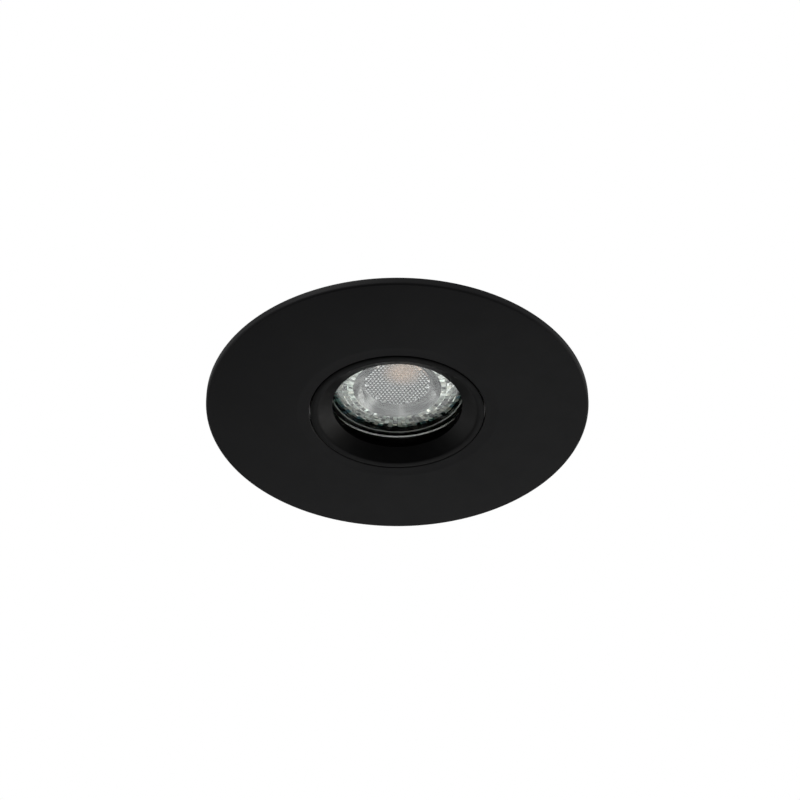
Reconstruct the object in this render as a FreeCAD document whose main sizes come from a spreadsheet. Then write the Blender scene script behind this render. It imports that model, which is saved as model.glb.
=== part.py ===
import FreeCAD, Part
import math
import os

import Sketcher
from FreeCAD import Placement, Rotation, Vector

# Soffit downlight with a round face plate, a twist-off glazed bezel and a GU10 lamp.
# Millimetres. The light hangs face down: +Z is up, and z = 0 is the soffit's underside,
# where the gasket seats. The lamp's axis is the Z axis.

SIZES = {
    # face plate
    "plate_radius": 70.0,
    "plate_edge": 3.0,
    "plate_wall": 1.6,
    "plate_skin": 1.6,
    "plate_dome": 0.2,
    "plate_round": 0.8,
    "plate_draft": 0.3,
    "plate_clearance": 0.3,
    "band_width": 4.4,
    "band_depth": 0.4,
    "hub_width": 4.6,
    "hub_rise": 0.7,
    "rib_count": 12,
    "rib_thickness": 1.2,
    "rib_height": 0.9,
    "boss_count": 3,
    "boss_radius": 4.0,
    "boss_offset": 4.5,
    "boss_height": 2.5,
    "overlap": 0.2,
    # soffit gasket and its channel
    "gasket_gap": 1.4,
    "gasket_width": 9.5,
    "gasket_proud": 0.3,
    "channel_wall": 1.2,
    "channel_gap": 0.5,
    "channel_drop": 0.3,
    # collar with the ramps that hold the bezel
    "collar_wall": 3.0,
    "collar_rise": 1.8,
    "collar_chamfer": 0.8,
    "collar_setback": 1.0,
    "collar_flange_thickness": 2.0,
    "ramp_gap": 0.6,
    "ramp_reach": 1.8,
    "ramp_thickness": 2.0,
    "ramp_clearance": 0.15,
    "ramp_root": 0.5,
    "ramp_lead_angle": 2.0,
    "ramp_rest_angle": 1.0,
    "thread_pitch": 36.0,
    "travel_angle": 60.0,
    "lug_count": 3,
    "lug_angle": 22.0,
    "lug_thickness": 2.0,
    "lug_clearance": 0.4,
    "stop_angle": 4.0,
    "stop_gap_angle": 0.6,
    # bezel
    "bezel_proud": 0.1,
    "bezel_gap": 0.4,
    "rim_width": 2.4,
    "rim_thickness": 2.0,
    "rim_round": 0.5,
    "rim_edge": 0.3,
    "dish_depth": 3.5,
    "opening_lip": 1.1,
    "opening_land": 0.4,
    "seat_ledge": 1.5,
    "throat_depth": 8.3,
    "skirt_wall": 2.8,
    "skirt_margin": 0.1,
    "skirt_relief": 1.6,
    "seal_radius": 1.1,
    "seal_clearance": 0.15,
    # glass cover and what holds it
    "glass_overlap": 1.5,
    "glass_thickness": 2.6,
    "glass_chamfer": 0.4,
    "glass_clearance": 0.3,
    "glass_gasket_thickness": 0.8,
    "glass_gasket_gap": 0.2,
    "wire_radius": 0.4,
    "wire_bite": 0.15,
    "wire_gap_angle": 30.0,
    "groove_clearance": 0.1,
    "groove_depth": 0.35,
    "groove_lip": 0.4,
    # lamp
    "lamp_radius": 25.0,
    "lamp_gap": 1.4,
    "lamp_rim": 2.2,
    "lamp_slope": 1.4,
    "lamp_chamfer": 0.5,
    "lamp_shoulder": 2.0,
    "lamp_height": 47.0,
    "lamp_glass": 1.4,
    "lamp_neck": 13.5,
    "lamp_neck_height": 35.0,
    "lamp_belly": 46.0,
    "facet_count": 36,
    "facet_depth": 1.1,
    "facet_width": 3.6,
    "facet_ring": 5.6,
    "lens_gap": 0.1,
    "lens_disc": 12.1,
    "lens_depth": 2.0,
    "lens_step": 0.6,
    "lens_slope": 1.3,
    "lens_thickness": 3.0,
    "board_gap": 0.2,
    "board_radius": 17.0,
    "board_thickness": 1.6,
    "emitter_radius": 7.0,
    "emitter_thickness": 0.8,
    "base_radius": 11.8,
    "base_wall": 1.8,
    "base_spigot": 2.0,
    "base_spigot_gap": 0.1,
    "base_collar": 2.0,
    "base_cone": 2.0,
    "base_chamfer": 1.0,
    "driver_gap": 1.0,
    "driver_width": 16.0,
    "driver_length": 26.0,
    "driver_thickness": 1.2,
    "capacitor_radius": 3.6,
    "capacitor_length": 12.0,
    "capacitor_rise": 2.0,
    # lamp pins and holder
    "pin_spacing": 10.0,
    "pin_neck": 1.5,
    "pin_head": 2.5,
    "pin_neck_length": 3.1,
    "pin_head_length": 3.6,
    "lamp_angle": 22.0,
    "holder_gap": 0.6,
    "holder_radius": 14.0,
    "holder_flat": 10.5,
    "holder_height": 19.7,
    "holder_front": 2.0,
    "holder_cavity": 7.2,
    "neck_clearance": 0.2,
    "head_clearance": 0.3,
    "keyhole_relief": 0.15,
    "holder_screw_offset": 7.2,
    "holder_screw_depth": 8.0,
    "contact_thickness": 0.5,
    "contact_width": 2.8,
    "contact_length": 4.0,
    "contact_gap": 0.4,
    "contact_barrel": 0.3,
    "lead_clearance": 0.4,
    "lead_entry": 7.0,
    # bracket that hangs the holder
    "bracket_thickness": 1.2,
    "bracket_margin": 0.5,
    "bracket_reach": 7.0,
    "bracket_width": 12.0,
    "bracket_height": 20.0,
    "bracket_bend": 1.5,
    "bracket_ear": 14.0,
    "bracket_ear_edge": 3.2,
    "bracket_ear_round": 2.0,
    "window_length": 18.0,
    "window_width": 7.0,
    "roof_screw_edge": 3.8,
    "earth_screw_edge": 4.7,
    # can
    "can_clearance": 1.5,
    "can_wall": 1.0,
    "can_corner": 4.0,
    "can_fillet": 1.0,
    "bead_height": 0.8,
    "bead_half": 1.0,
    "bead_slope": 1.0,
    "bead_drop": 28.0,
    "flange_margin": 1.5,
    "flange_gasket_thickness": 0.8,
    # screws and rivets
    "m3_radius": 1.5,
    "m3_clearance": 0.2,
    "thread_gap": 0.02,
    "m3_head_radius": 2.8,
    "m3_head_height": 2.0,
    "m3_slot_width": 0.8,
    "m3_slot_depth": 1.0,
    "m3_nut_radius": 3.1,
    "m3_nut_height": 2.4,
    "slot_overrun": 0.2,
    "screw_tip_gap": 0.6,
    "screw_tail": 0.8,
    "box_screw_length": 5.0,
    "rivet_radius": 1.5,
    "rivet_head": 2.6,
    "rivet_dome": 1.0,
    "rivet_taper_angle": 30.0,
    "rivet_offset": 5.5,
    # spring clips
    "pivot_offset": 6.0,
    "pivot_rise": 18.7,
    "ear_width": 20.0,
    "ear_round": 5.0,
    "foot_gap": 0.7,
    "foot_length": 9.3,
    "pivot_pin": 1.5,
    "pivot_pin_head": 2.6,
    "pivot_clearance": 0.05,
    "pivot_pin_overhang": 1.4,
    "pin_spread": 0.5,
    "pin_spread_length": 0.8,
    "pin_tail": 0.3,
    "stop_width": 8.0,
    "stop_clearance": 0.02,
    "arm_angle": 35.0,
    "arm_length": 28.0,
    "arm_start": 3.2,
    "arm_width": 15.6,
    "arm_sheet": 1.0,
    "arm_drop": 4.25,
    "cheek_rise": 2.6,
    "cheek_corner": 1.04,
    "cheek_toe": 0.5,
    "cheek_step": 0.8,
    "cheek_length": 17.0,
    "pad_length": 9.0,
    "pad_wall": 1.2,
    "pad_corner": 1.0,
    "pad_round": 1.2,
    "pad_mouth": 1.0,
    "spring_radius": 3.6,
    "spring_wire": 0.6,
    "spring_turns": 4.0,
    "spring_pitch": 1.7,
    "spring_back_leg": 14.0,
    "spring_front_leg": 16.0,
    "spring_touch": 0.03,
    # terminal box
    "box_gap": 2.5,
    "box_width": 34.0,
    "box_height": 19.0,
    "box_wall": 1.8,
    "box_corner": 3.0,
    "box_screw_x": 11.0,
    "box_screw_inset": 5.0,
    "lid_thickness": 1.8,
    "lid_gap": 0.2,
    "lid_lip": 2.0,
    "lid_lip_clearance": 0.4,
    "lid_lip_thickness": 1.2,
    "hinge_rise": 0.4,
    "knuckle_radius": 2.2,
    "knuckle_gap": 0.3,
    "knuckle_width": 6.0,
    "knuckle_offset": 15.0,
    "knuckle_root": 7.5,
    "knuckle_sink": 0.4,
    "knuckle_bridge": 0.6,
    "hinge_pin": 1.0,
    "tab_width": 10.0,
    "tab_length": 11.0,
    "tab_thickness": 1.2,
    "tab_gap": 0.3,
    "tab_bar": 1.5,
    "tab_root": 1.0,
    "tab_window": 3.4,
    "catch_reach": 0.7,
    "catch_height": 2.5,
    "catch_nose": 0.8,
    "catch_gap": 0.3,
    "catch_side": 0.7,
    "catch_sink": 0.5,
    # terminal block
    "block_setback": 28.5,
    "block_length": 12.0,
    "block_width": 26.0,
    "block_height": 10.0,
    "block_corner": 0.8,
    "block_drop": 5.0,
    "rail_setback": 2.0,
    "rail_width": 2.0,
    "rail_edge": 1.0,
    "pole_pitch": 8.0,
    "barrel_length": 10.0,
    "barrel_width": 5.6,
    "barrel_height": 6.0,
    "barrel_clearance": 0.1,
    "terminal_bore": 1.5,
    "terminal_screw": 1.7,
    "terminal_screw_height": 3.0,
    "terminal_screw_spacing": 5.0,
    # cable entry and clamp
    "entry_offset": 0.4,
    "entry_hole": 5.2,
    "entry_bore": 3.9,
    "entry_flange_gap": 0.4,
    "entry_flange_thickness": 1.4,
    "clamp_setback": 10.5,
    "clamp_length": 5.0,
    "clamp_width": 22.0,
    "clamp_corner": 1.0,
    "clamp_arch": 4.3,
    "clamp_headroom": 3.4,
    "clamp_split": 0.8,
    "clamp_screw_offset": 8.2,
    "clamp_thread_depth": 5.0,
    "clamp_screw_bite": 4.0,
    # leads and their grommet
    "lead_radius": 0.9,
    "lead_bend": 5.4,
    "lead_ring": 1.25,
    "lead_turn_in": 1.5,
    "lead_insertion": 3.5,
    "grommet_setback": 9.0,
    "grommet_bore": 2.7,
    "grommet_neck": 4.4,
    "grommet_flange": 6.0,
    "grommet_lip": 1.0,
    "grommet_edge": 0.5,
    "live_turn": 6.0,
    "neutral_turn": 3.5,
    "lead_gather": 8.0,
    "tag_thickness": 0.8,
    "tag_ring": 3.0,
    "tag_width": 2.4,
    "tag_barrel": 1.5,
    "tag_barrel_height": 4.5,
    "tag_socket": 0.5,
    "tag_clearance": 0.05,
}

# the spacing of the points between which a spring's gaps are measured, in millimetres
GAP_STEP = 0.4
# the share of the shorter run beside a lead's bend that the bend may use
BEND_SHARE = 0.45

document = FreeCAD.newDocument("SoffitDownlight")


class Size:
    """A dimension as a number and as the formula on the sheet that gives it."""

    def __init__(self, value, text):
        self.value = float(value)
        self.text = text

    def __add__(self, other):
        return combined(self, "+", other)

    def __radd__(self, other):
        return combined(other, "+", self)

    def __sub__(self, other):
        return combined(self, "-", other)

    def __rsub__(self, other):
        return combined(other, "-", self)

    def __mul__(self, other):
        return combined(self, "*", other)

    def __rmul__(self, other):
        return combined(other, "*", self)

    def __truediv__(self, other):
        return combined(self, "/", other)

    def __rtruediv__(self, other):
        return combined(other, "/", self)

    def __neg__(self):
        return combined(0, "-", self)

    def __float__(self):
        return self.value


OPERATIONS = {
    "+": lambda first, second: first + second,
    "-": lambda first, second: first - second,
    "*": lambda first, second: first * second,
    "/": lambda first, second: first / second,
}


def text_of(value):
    """The formula text of a size, or of a plain number."""
    return value.text if isinstance(value, Size) else repr(float(value))


def combined(first, sign, second):
    """Two sizes or numbers joined by one of the four signs."""
    number = OPERATIONS[sign](float(first), float(second))
    return Size(number, "(" + text_of(first) + " " + sign + " " + text_of(second) + ")")


class Sizes:
    """The driving dimensions, kept in a spreadsheet and read by name."""

    def __init__(self, values):
        self.sheet = document.addObject("Spreadsheet::Sheet", "Sizes")
        for row, (name, value) in enumerate(values.items(), start=1):
            self.sheet.set("A" + str(row), name)
            self.sheet.set("B" + str(row), str(value))
            self.sheet.setAlias("B" + str(row), name)
        document.recompute()

    def __getattr__(self, name):
        return Size(self.sheet.get(name), "Sizes." + name)


size = Sizes(SIZES)


# ---------------------------------------------------------------- drawing helpers


def bind(item, path, value):
    """Set a property and tie it to its formula."""
    if isinstance(value, Size):
        item.setExpression(path, value.text)
    else:
        setattr(item, path, value)


def new_body(label):
    body = document.addObject("PartDesign::Body", label)
    body.Label = label
    return body


def origin_item(body, role):
    for item in body.Origin.OriginFeatures:
        if item.Role == role:
            return item
    raise LookupError(role)


def new_sketch(body, role, lift=None, turn=None):
    """A sketch on one of the body's own planes, lifted along and turned about it."""
    sketch = body.newObject("Sketcher::SketchObject", body.Label + "_sketch")
    sketch.AttachmentSupport = [(origin_item(body, role), "")]
    sketch.MapMode = "FlatFace"
    if turn is not None:
        # a plane that holds the Z axis turns about it, which is the sketch's own Y
        sketch.AttachmentOffset = Placement(Vector(), Rotation(Vector(0, 1, 0), float(turn)))
        sketch.setExpression("AttachmentOffset.Rotation.Angle", text_of(turn))
    if lift is not None:
        sketch.setExpression("AttachmentOffset.Base.z", text_of(lift))
    return sketch


def fix_point(sketch, element, end, x, y):
    """Hold a sketch point at its distances from the origin."""
    for kind, value in (("DistanceX", x), ("DistanceY", y)):
        index = sketch.addConstraint(Sketcher.Constraint(kind, -1, 1, element, end, float(value)))
        if isinstance(value, Size):
            sketch.setExpression("Constraints[" + str(index) + "]", value.text)


def arc_between(start, end, radius):
    """The short arc from start to end, anticlockwise where the radius is positive."""
    chord = end - start
    middle = (start + end) * 0.5
    rise = math.sqrt(max(radius**2 - (chord.Length / 2) ** 2, 0.0))
    left = Vector(-chord.y, chord.x, 0).normalize()
    centre = middle + left * math.copysign(rise, radius)
    if radius < 0:
        start, end = end, start
    first = math.atan2(start.y - centre.y, start.x - centre.x)
    last = math.atan2(end.y - centre.y, end.x - centre.x)
    circle = Part.Circle(centre, Vector(0, 0, 1), abs(radius))
    return Part.ArcOfCircle(circle, first, last)


def draw(sketch, corners):
    """A closed outline. A corner is (x, y), or (x, y, radius) where an arc leaves it."""
    points = [Vector(float(c[0]), float(c[1]), 0) for c in corners]
    ends = []
    for index, corner in enumerate(corners):
        start = points[index]
        end = points[(index + 1) % len(corners)]
        if len(corner) == 3:
            radius = corner[2]
            element = sketch.addGeometry(arc_between(start, end, float(radius)))
            ends.append((element, 1, 2) if float(radius) > 0 else (element, 2, 1))
        else:
            element = sketch.addGeometry(Part.LineSegment(start, end))
            ends.append((element, 1, 2))
    for index, corner in enumerate(corners):
        element, _, last = ends[index]
        following, first, _ = ends[(index + 1) % len(corners)]
        sketch.addConstraint(Sketcher.Constraint("Coincident", element, last, following, first))
    for index, corner in enumerate(corners):
        element, first, _ = ends[index]
        fix_point(sketch, element, first, corner[0], corner[1])
        if len(corner) == 3:
            fix_radius(sketch, element, corner[2])
    return sketch


def fix_radius(sketch, element, radius):
    radius = radius if float(radius) > 0 else -1.0 * radius
    index = sketch.addConstraint(Sketcher.Constraint("Radius", element, float(radius)))
    if isinstance(radius, Size):
        sketch.setExpression("Constraints[" + str(index) + "]", radius.text)


def draw_circle(sketch, x, y, radius):
    centre = Vector(float(x), float(y), 0)
    element = sketch.addGeometry(Part.Circle(centre, Vector(0, 0, 1), float(radius)))
    fix_point(sketch, element, 3, x, y)
    fix_radius(sketch, element, radius)
    return sketch


def rectangle(x0, y0, x1, y1):
    return [(x0, y0), (x1, y0), (x1, y1), (x0, y1)]


def rounded(x0, y0, x1, y1, radius):
    """A rectangle whose corners are arcs."""
    return [
        (x0 + radius, y0),
        (x1 - radius, y0, radius),
        (x1, y0 + radius),
        (x1, y1 - radius, radius),
        (x1 - radius, y1),
        (x0 + radius, y1, radius),
        (x0, y1 - radius),
        (x0, y0 + radius, radius),
    ]


def slot_outline(half_length, radius):
    """A slot along X with round ends, each drawn as two quarter arcs."""
    straight = half_length - radius
    return [
        (-1 * straight, -1 * radius),
        (straight, -1 * radius, radius),
        (half_length, 0, radius),
        (straight, radius),
        (-1 * straight, radius, radius),
        (-1 * half_length, 0, radius),
    ]


# ---------------------------------------------------------------- feature helpers


def finish(body, feature):
    body.Tip = feature
    return feature


def extrude(body, sketch, length, kind="PartDesign::Pad", reverse=False, symmetric=False):
    feature = body.newObject(kind, body.Label + "_" + kind.split("::")[1].lower())
    feature.Profile = sketch
    bind(feature, "Length", length)
    feature.Reversed = reverse
    if symmetric:
        feature.SideType = "Symmetric"
    return finish(body, feature)


def pad(body, sketch, length, **options):
    return extrude(body, sketch, length, "PartDesign::Pad", **options)


def pocket(body, sketch, length, **options):
    """A cut, which runs against the sketch's normal unless it is reversed."""
    return extrude(body, sketch, length, "PartDesign::Pocket", **options)


def spin(body, sketch, angle=360.0, kind="PartDesign::Revolution", reverse=False):
    """A revolved profile, about the sketch's vertical axis."""
    feature = body.newObject(kind, body.Label + "_spin")
    feature.Profile = sketch
    feature.ReferenceAxis = (sketch, ["V_Axis"])
    bind(feature, "Angle", angle)
    feature.Reversed = reverse
    return finish(body, feature)


def helix(body, sketch, pitch, height):
    """A profile carried up a right-handed screw line about the vertical axis."""
    feature = body.newObject("PartDesign::AdditiveHelix", body.Label + "_helix")
    feature.Profile = sketch
    feature.ReferenceAxis = (sketch, ["V_Axis"])
    feature.Mode = "pitch-height-angle"
    bind(feature, "Pitch", pitch)
    bind(feature, "Height", height)
    return finish(body, feature)


def around(body, features, count):
    """Copies of features at equal angles about the Z axis."""
    pattern = body.newObject("PartDesign::PolarPattern", body.Label + "_pattern")
    pattern.Originals = features
    pattern.Axis = (origin_item(body, "Z_Axis"), [""])
    pattern.Angle = 360
    bind(pattern, "Occurrences", count)
    return finish(body, pattern)


def across(body, features, role):
    """Copies of features in the mirror of one of the body's planes."""
    mirror = body.newObject("PartDesign::Mirrored", body.Label + "_mirror")
    mirror.Originals = features
    mirror.MirrorPlane = (origin_item(body, role), [""])
    return finish(body, mirror)


def ring(label, inner, outer, bottom, top):
    """A plain flat ring about the Z axis."""
    body = new_body(label)
    spin(body, draw(new_sketch(body, "XZ_Plane"), rectangle(inner, bottom, outer, top)))
    return body


def place(body, x=None, y=None, z=None, angle=None, axis=Vector(0, 0, 1)):
    """Put a finished body in its place, each distance tied to its formula."""
    if angle is not None:
        body.Placement = Placement(Vector(), Rotation(axis, float(angle)))
        body.setExpression("Placement.Rotation.Angle", text_of(angle))
    for name, value in (("x", x), ("y", y), ("z", z)):
        if value is not None:
            body.setExpression("Placement.Base." + name, text_of(value))
    return body


# ---------------------------------------------------------------- levels, from the soffit


def face_level():
    """The front of the plate at its edge."""
    return 0 - size.gasket_proud - size.plate_edge


def band_level():
    """The front of the plate at the start of the band round its hole."""
    return face_level() - size.plate_dome


def floor_level():
    """The back of the plate's skin."""
    return band_level() + size.plate_skin


def hub_level():
    """The back of the hub round the plate's hole, where the collar stands."""
    return floor_level() + size.hub_rise


def flange_level():
    """The underside of the collar's flange, on the plate's bosses."""
    return size.boss_height


def can_level():
    """The underside of the can's flange, on its gasket."""
    return flange_level() + size.collar_flange_thickness + size.flange_gasket_thickness


def bezel_level():
    """The front of the bezel's rim."""
    return face_level() - size.bezel_proud


def seat_level():
    """The ledge in the bezel that carries the glass."""
    return bezel_level() + size.throat_depth


def glass_level():
    """The top of the glass cover."""
    return seat_level() + size.glass_gasket_thickness + size.glass_thickness


def lamp_level():
    """The front of the lamp's rim."""
    return glass_level() + size.lamp_gap


def lamp_top():
    """The back of the lamp's base, where its pins stand."""
    return lamp_level() + size.lamp_height


def holder_level():
    return lamp_top() + size.holder_gap


def holder_top():
    """The back of the lampholder, against the bracket's web."""
    return holder_level() + size.holder_height


def ceiling_level():
    """The underside of the can's roof."""
    return holder_top() + size.bracket_height


def roof_level():
    """The top of the can, where the terminal box stands."""
    return ceiling_level() + size.can_wall


def box_floor():
    return roof_level() + size.box_wall


def box_rim():
    return roof_level() + size.box_height


def wire_level():
    """The height of the cable entry and of the terminals' bores, near the box's middle."""
    return (box_floor() + box_rim()) / 2 - size.entry_offset


def block_level():
    """The underside of the terminal block."""
    return wire_level() - size.block_drop


def block_post():
    """The posts' height, from the box's floor to the terminal block."""
    return block_level() - box_floor()


def entry_flange():
    """The cable grommet's flange, which stays clear of the lid's lip."""
    lip = size.lid_lip - size.lid_gap
    return box_rim() - wire_level() - lip - size.entry_flange_gap


def clamp_bar():
    """The clamp's height, with room for its screws' heads under the lid."""
    return box_rim() - wire_level() - size.clamp_headroom


def box_screw_y():
    return size.box_width / 2 - size.box_screw_inset


def seal_top():
    """The back of the seal behind the bezel's rim."""
    return bezel_level() + size.rim_thickness + size.seal_radius * 2


def screw_rise(angle):
    """How far the quick thread climbs in an angle."""
    return size.thread_pitch * angle / 360


def lug_level():
    """The underside of a lug at its start, with the ramp's low end just over the seal."""
    climb = screw_rise(size.travel_angle - size.lug_angle - size.ramp_lead_angle)
    ramp = size.ramp_thickness + size.ramp_clearance
    return seal_top() + size.seal_clearance + ramp + climb


def skirt_top():
    """The back of the bezel's skirt, just over its lugs."""
    return lug_level() + size.lug_thickness + screw_rise(size.lug_angle) + size.skirt_margin


def pivot_level():
    """The height of the clips' pivots."""
    return can_level() + size.can_wall + size.pivot_rise


def bead_level():
    """The height of the can's bead."""
    return roof_level() - size.bead_drop


# ---------------------------------------------------------------- radii, from the lamp outwards


def glass_radius():
    return size.lamp_radius + size.glass_overlap


def throat_radius():
    """The wall in front of the glass."""
    return glass_radius() - size.seat_ledge


def opening_radius():
    """The small end of the dish."""
    return throat_radius() - size.opening_lip


def seat_radius():
    """The wall round the glass."""
    return glass_radius() + size.glass_clearance


def skirt_radius():
    return seat_radius() + size.skirt_wall


def collar_bore():
    return skirt_radius() + size.ramp_gap + size.ramp_reach


def plate_hole():
    return collar_bore() + size.plate_clearance


def can_radius():
    """The outside of the can, which stands round the collar's wall."""
    return collar_bore() + size.collar_wall + size.can_clearance + size.can_wall


def boss_circle():
    """Where the flange screws stand, outside the can's wall."""
    return can_radius() + size.boss_offset


def foot_inner():
    """The inner edge of a clip bracket's foot, clear of the can's fillet."""
    return can_radius() + size.can_fillet + size.foot_gap


def foot_outer():
    return foot_inner() + size.foot_length


def can_flange():
    return foot_outer() + size.flange_margin


def collar_flange():
    return can_flange() - size.collar_setback


def pivot_radius():
    return can_radius() + size.pivot_offset


def gasket_outer():
    return size.plate_radius - size.plate_wall - size.gasket_gap


def gasket_inner():
    return gasket_outer() - size.gasket_width


def lens_radius():
    """The edge of the lens, inside the lamp's ring of facets."""
    return size.lamp_radius - size.facet_ring


# ---------------------------------------------------------------- places along the box


def bracket_foot():
    """The outer end of the holder bracket's feet, inside the can's corner."""
    return can_radius() - size.can_corner - size.bracket_margin


def bracket_leg():
    return bracket_foot() - size.bracket_reach


def roof_screw_x():
    return bracket_leg() + size.roof_screw_edge


def earth_screw_x():
    return bracket_leg() - size.earth_screw_edge


def box_length():
    """The terminal box fits between the heads of the roof's screws."""
    return 2 * (roof_screw_x() - size.m3_head_radius - size.box_gap)


def clamp_start():
    return box_length() / 2 - size.clamp_setback


def block_start():
    return box_length() / 2 - size.block_setback


def grommet_offset():
    return box_length() / 2 - size.grommet_setback


# ---------------------------------------------------------------- face plate and gasket


def tapped_radius():
    """A tapped hole, a hair wider than the plain shank that stands for the thread."""
    return size.m3_radius + size.thread_gap


def trim_plate():
    """A cast plate with a returned edge, a hollow ribbed back and three tapped bosses."""
    body = new_body("trim_plate")
    hole = plate_hole()
    edge = size.plate_radius
    floor = floor_level()
    top = 0 - size.gasket_proud
    band = hole + size.band_width
    fence = gasket_inner() - size.channel_gap
    outline = [
        (hole, band_level() + size.band_depth),
        (band, band_level()),
        (edge - size.plate_round, face_level(), size.plate_round),
        (edge, face_level() + size.plate_round),
        (edge, top),
        (edge - size.plate_wall, top),
        (edge - size.plate_wall - size.plate_draft, floor),
        (fence, floor),
        (fence, top - size.channel_drop),
        (fence - size.channel_wall, top - size.channel_drop),
        (fence - size.channel_wall, floor),
        (hole + size.hub_width, floor),
        (hole + size.hub_width, hub_level()),
        (hole, hub_level()),
    ]
    spin(body, draw(new_sketch(body, "XZ_Plane"), outline))
    rib = rectangle(
        hole + size.hub_width - size.overlap,
        -1 * size.rib_thickness / 2,
        fence - size.channel_wall + size.overlap,
        size.rib_thickness / 2,
    )
    rib_pad = pad(body, draw(new_sketch(body, "XY_Plane", floor), rib), size.rib_height)
    around(body, [rib_pad], size.rib_count)
    sunk = floor - size.overlap
    boss = draw_circle(new_sketch(body, "XY_Plane", sunk), 0, boss_circle(), size.boss_radius)
    around(body, [pad(body, boss, flange_level() - sunk)], size.boss_count)
    tapping = new_sketch(body, "XY_Plane", flange_level())
    draw_circle(tapping, 0, boss_circle(), tapped_radius())
    around(body, [pocket(body, tapping, flange_level() - floor)], size.boss_count)
    return body


def soffit_gasket():
    """The foam ring that the plate presses against the soffit."""
    return ring("soffit_gasket", gasket_inner(), gasket_outer(), floor_level(), 0)


# ---------------------------------------------------------------- collar and bezel


def lock_collar():
    """A cast collar: a flange on the plate's bosses and a bore with three screw ramps."""
    body = new_body("lock_collar")
    bore = collar_bore()
    wall = bore + size.collar_wall
    bottom = hub_level()
    flange = flange_level()
    top = skirt_top() + size.collar_rise
    outline = [
        (bore, bottom),
        (wall, bottom),
        (wall, flange),
        (collar_flange(), flange),
        (collar_flange(), flange + size.collar_flange_thickness),
        (wall, flange + size.collar_flange_thickness),
        (wall, top - size.collar_chamfer),
        (wall - size.collar_chamfer, top),
        (bore, top),
    ]
    spin(body, draw(new_sketch(body, "XZ_Plane"), outline))
    start = size.lug_angle + size.ramp_lead_angle - size.travel_angle
    ramp_top = lug_level() - size.ramp_clearance + screw_rise(start)
    inner = bore - size.ramp_reach
    root = bore + size.ramp_root
    ramp = rectangle(inner, ramp_top - size.ramp_thickness, root, ramp_top)
    rise = screw_rise(size.travel_angle - size.ramp_rest_angle)
    ramp_sketch = draw(new_sketch(body, "XZ_Plane", turn=start), ramp)
    around(body, [helix(body, ramp_sketch, size.thread_pitch, rise)], size.lug_count)
    stop_start = size.lug_angle + size.stop_gap_angle
    stop_low = lug_level() + screw_rise(stop_start) - size.ramp_thickness
    stop_high = stop_low + size.ramp_thickness + size.lug_thickness
    stop = rectangle(inner, stop_low, root, stop_high)
    stop_sketch = draw(new_sketch(body, "XZ_Plane", turn=stop_start), stop)
    stop_helix = helix(body, stop_sketch, size.thread_pitch, screw_rise(size.stop_angle))
    around(body, [stop_helix], size.lug_count)
    holes = draw_circle(
        new_sketch(body, "XY_Plane", flange + size.collar_flange_thickness),
        0,
        boss_circle(),
        size.m3_radius + size.m3_clearance,
    )
    cut = pocket(body, holes, size.collar_flange_thickness)
    around(body, [cut], size.boss_count)
    return body


def bezel_ring():
    """The turned dish, its skirt with the glass seat inside and three screw lugs outside."""
    body = new_body("bezel_ring")
    front = bezel_level()
    rim = plate_hole() - size.bezel_gap
    dish = rim - size.rim_width
    rear = front + size.rim_thickness
    seat = seat_radius()
    relief = seat + size.skirt_relief
    groove = seat + size.groove_depth
    groove_top = glass_level() + size.wire_radius * 2 + size.groove_clearance
    lip = groove_top + size.groove_lip
    land = front + size.dish_depth
    outline = [
        (rim - size.rim_edge, front),
        (rim, front + size.rim_edge),
        (rim, rear),
        (skirt_radius(), rear),
        (skirt_radius(), skirt_top()),
        (relief, skirt_top()),
        (relief, lip),
        (seat, lip),
        (seat, groove_top),
        (groove, groove_top),
        (groove, glass_level()),
        (seat, glass_level()),
        (seat, seat_level()),
        (throat_radius(), seat_level()),
        (opening_radius(), land + size.opening_land),
        (opening_radius(), land),
        (dish - size.rim_round, front + size.rim_round, -1 * size.rim_round),
        (dish, front),
    ]
    spin(body, draw(new_sketch(body, "XZ_Plane"), outline))
    lug = rectangle(
        skirt_radius() - size.ramp_root,
        lug_level(),
        collar_bore() - size.lug_clearance,
        lug_level() + size.lug_thickness,
    )
    lug_sketch = draw(new_sketch(body, "XZ_Plane"), lug)
    lug_helix = helix(body, lug_sketch, size.thread_pitch, screw_rise(size.lug_angle))
    around(body, [lug_helix], size.lug_count)
    return body


def glass_gasket():
    """The silicone ring between the bezel's ledge and the glass."""
    return ring(
        "glass_gasket",
        throat_radius() + size.glass_gasket_gap,
        seat_radius() - size.glass_gasket_gap,
        seat_level(),
        seat_level() + size.glass_gasket_thickness,
    )


def glass_cover():
    """The clear disc, with a small chamfer on both edges."""
    body = new_body("glass_cover")
    radius = glass_radius()
    low = seat_level() + size.glass_gasket_thickness
    high = glass_level()
    chamfer = size.glass_chamfer
    outline = [
        (0, low),
        (radius - chamfer, low),
        (radius, low + chamfer),
        (radius, high - chamfer),
        (radius - chamfer, high),
        (0, high),
    ]
    spin(body, draw(new_sketch(body, "XZ_Plane"), outline))
    return body


def wire_ring(label, mean, level, radius, span):
    """A round wire bent to a ring, open where its span is under a full turn."""
    body = new_body(label)
    spin(body, draw_circle(new_sketch(body, "XZ_Plane"), mean, level, radius), span)
    return body


def glass_clip():
    """The sprung wire in the skirt's groove that holds the glass down."""
    mean = seat_radius() - size.wire_bite
    level = glass_level() + size.wire_radius
    return wire_ring("glass_clip", mean, level, size.wire_radius, 360 - size.wire_gap_angle)


def bezel_seal():
    """The rubber ring behind the bezel's rim, in the collar's bore."""
    level = bezel_level() + size.rim_thickness + size.seal_radius
    mean = skirt_radius() + size.seal_radius
    return wire_ring("bezel_seal", mean, level, size.seal_radius, 360.0)


# ---------------------------------------------------------------- lamp


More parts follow.
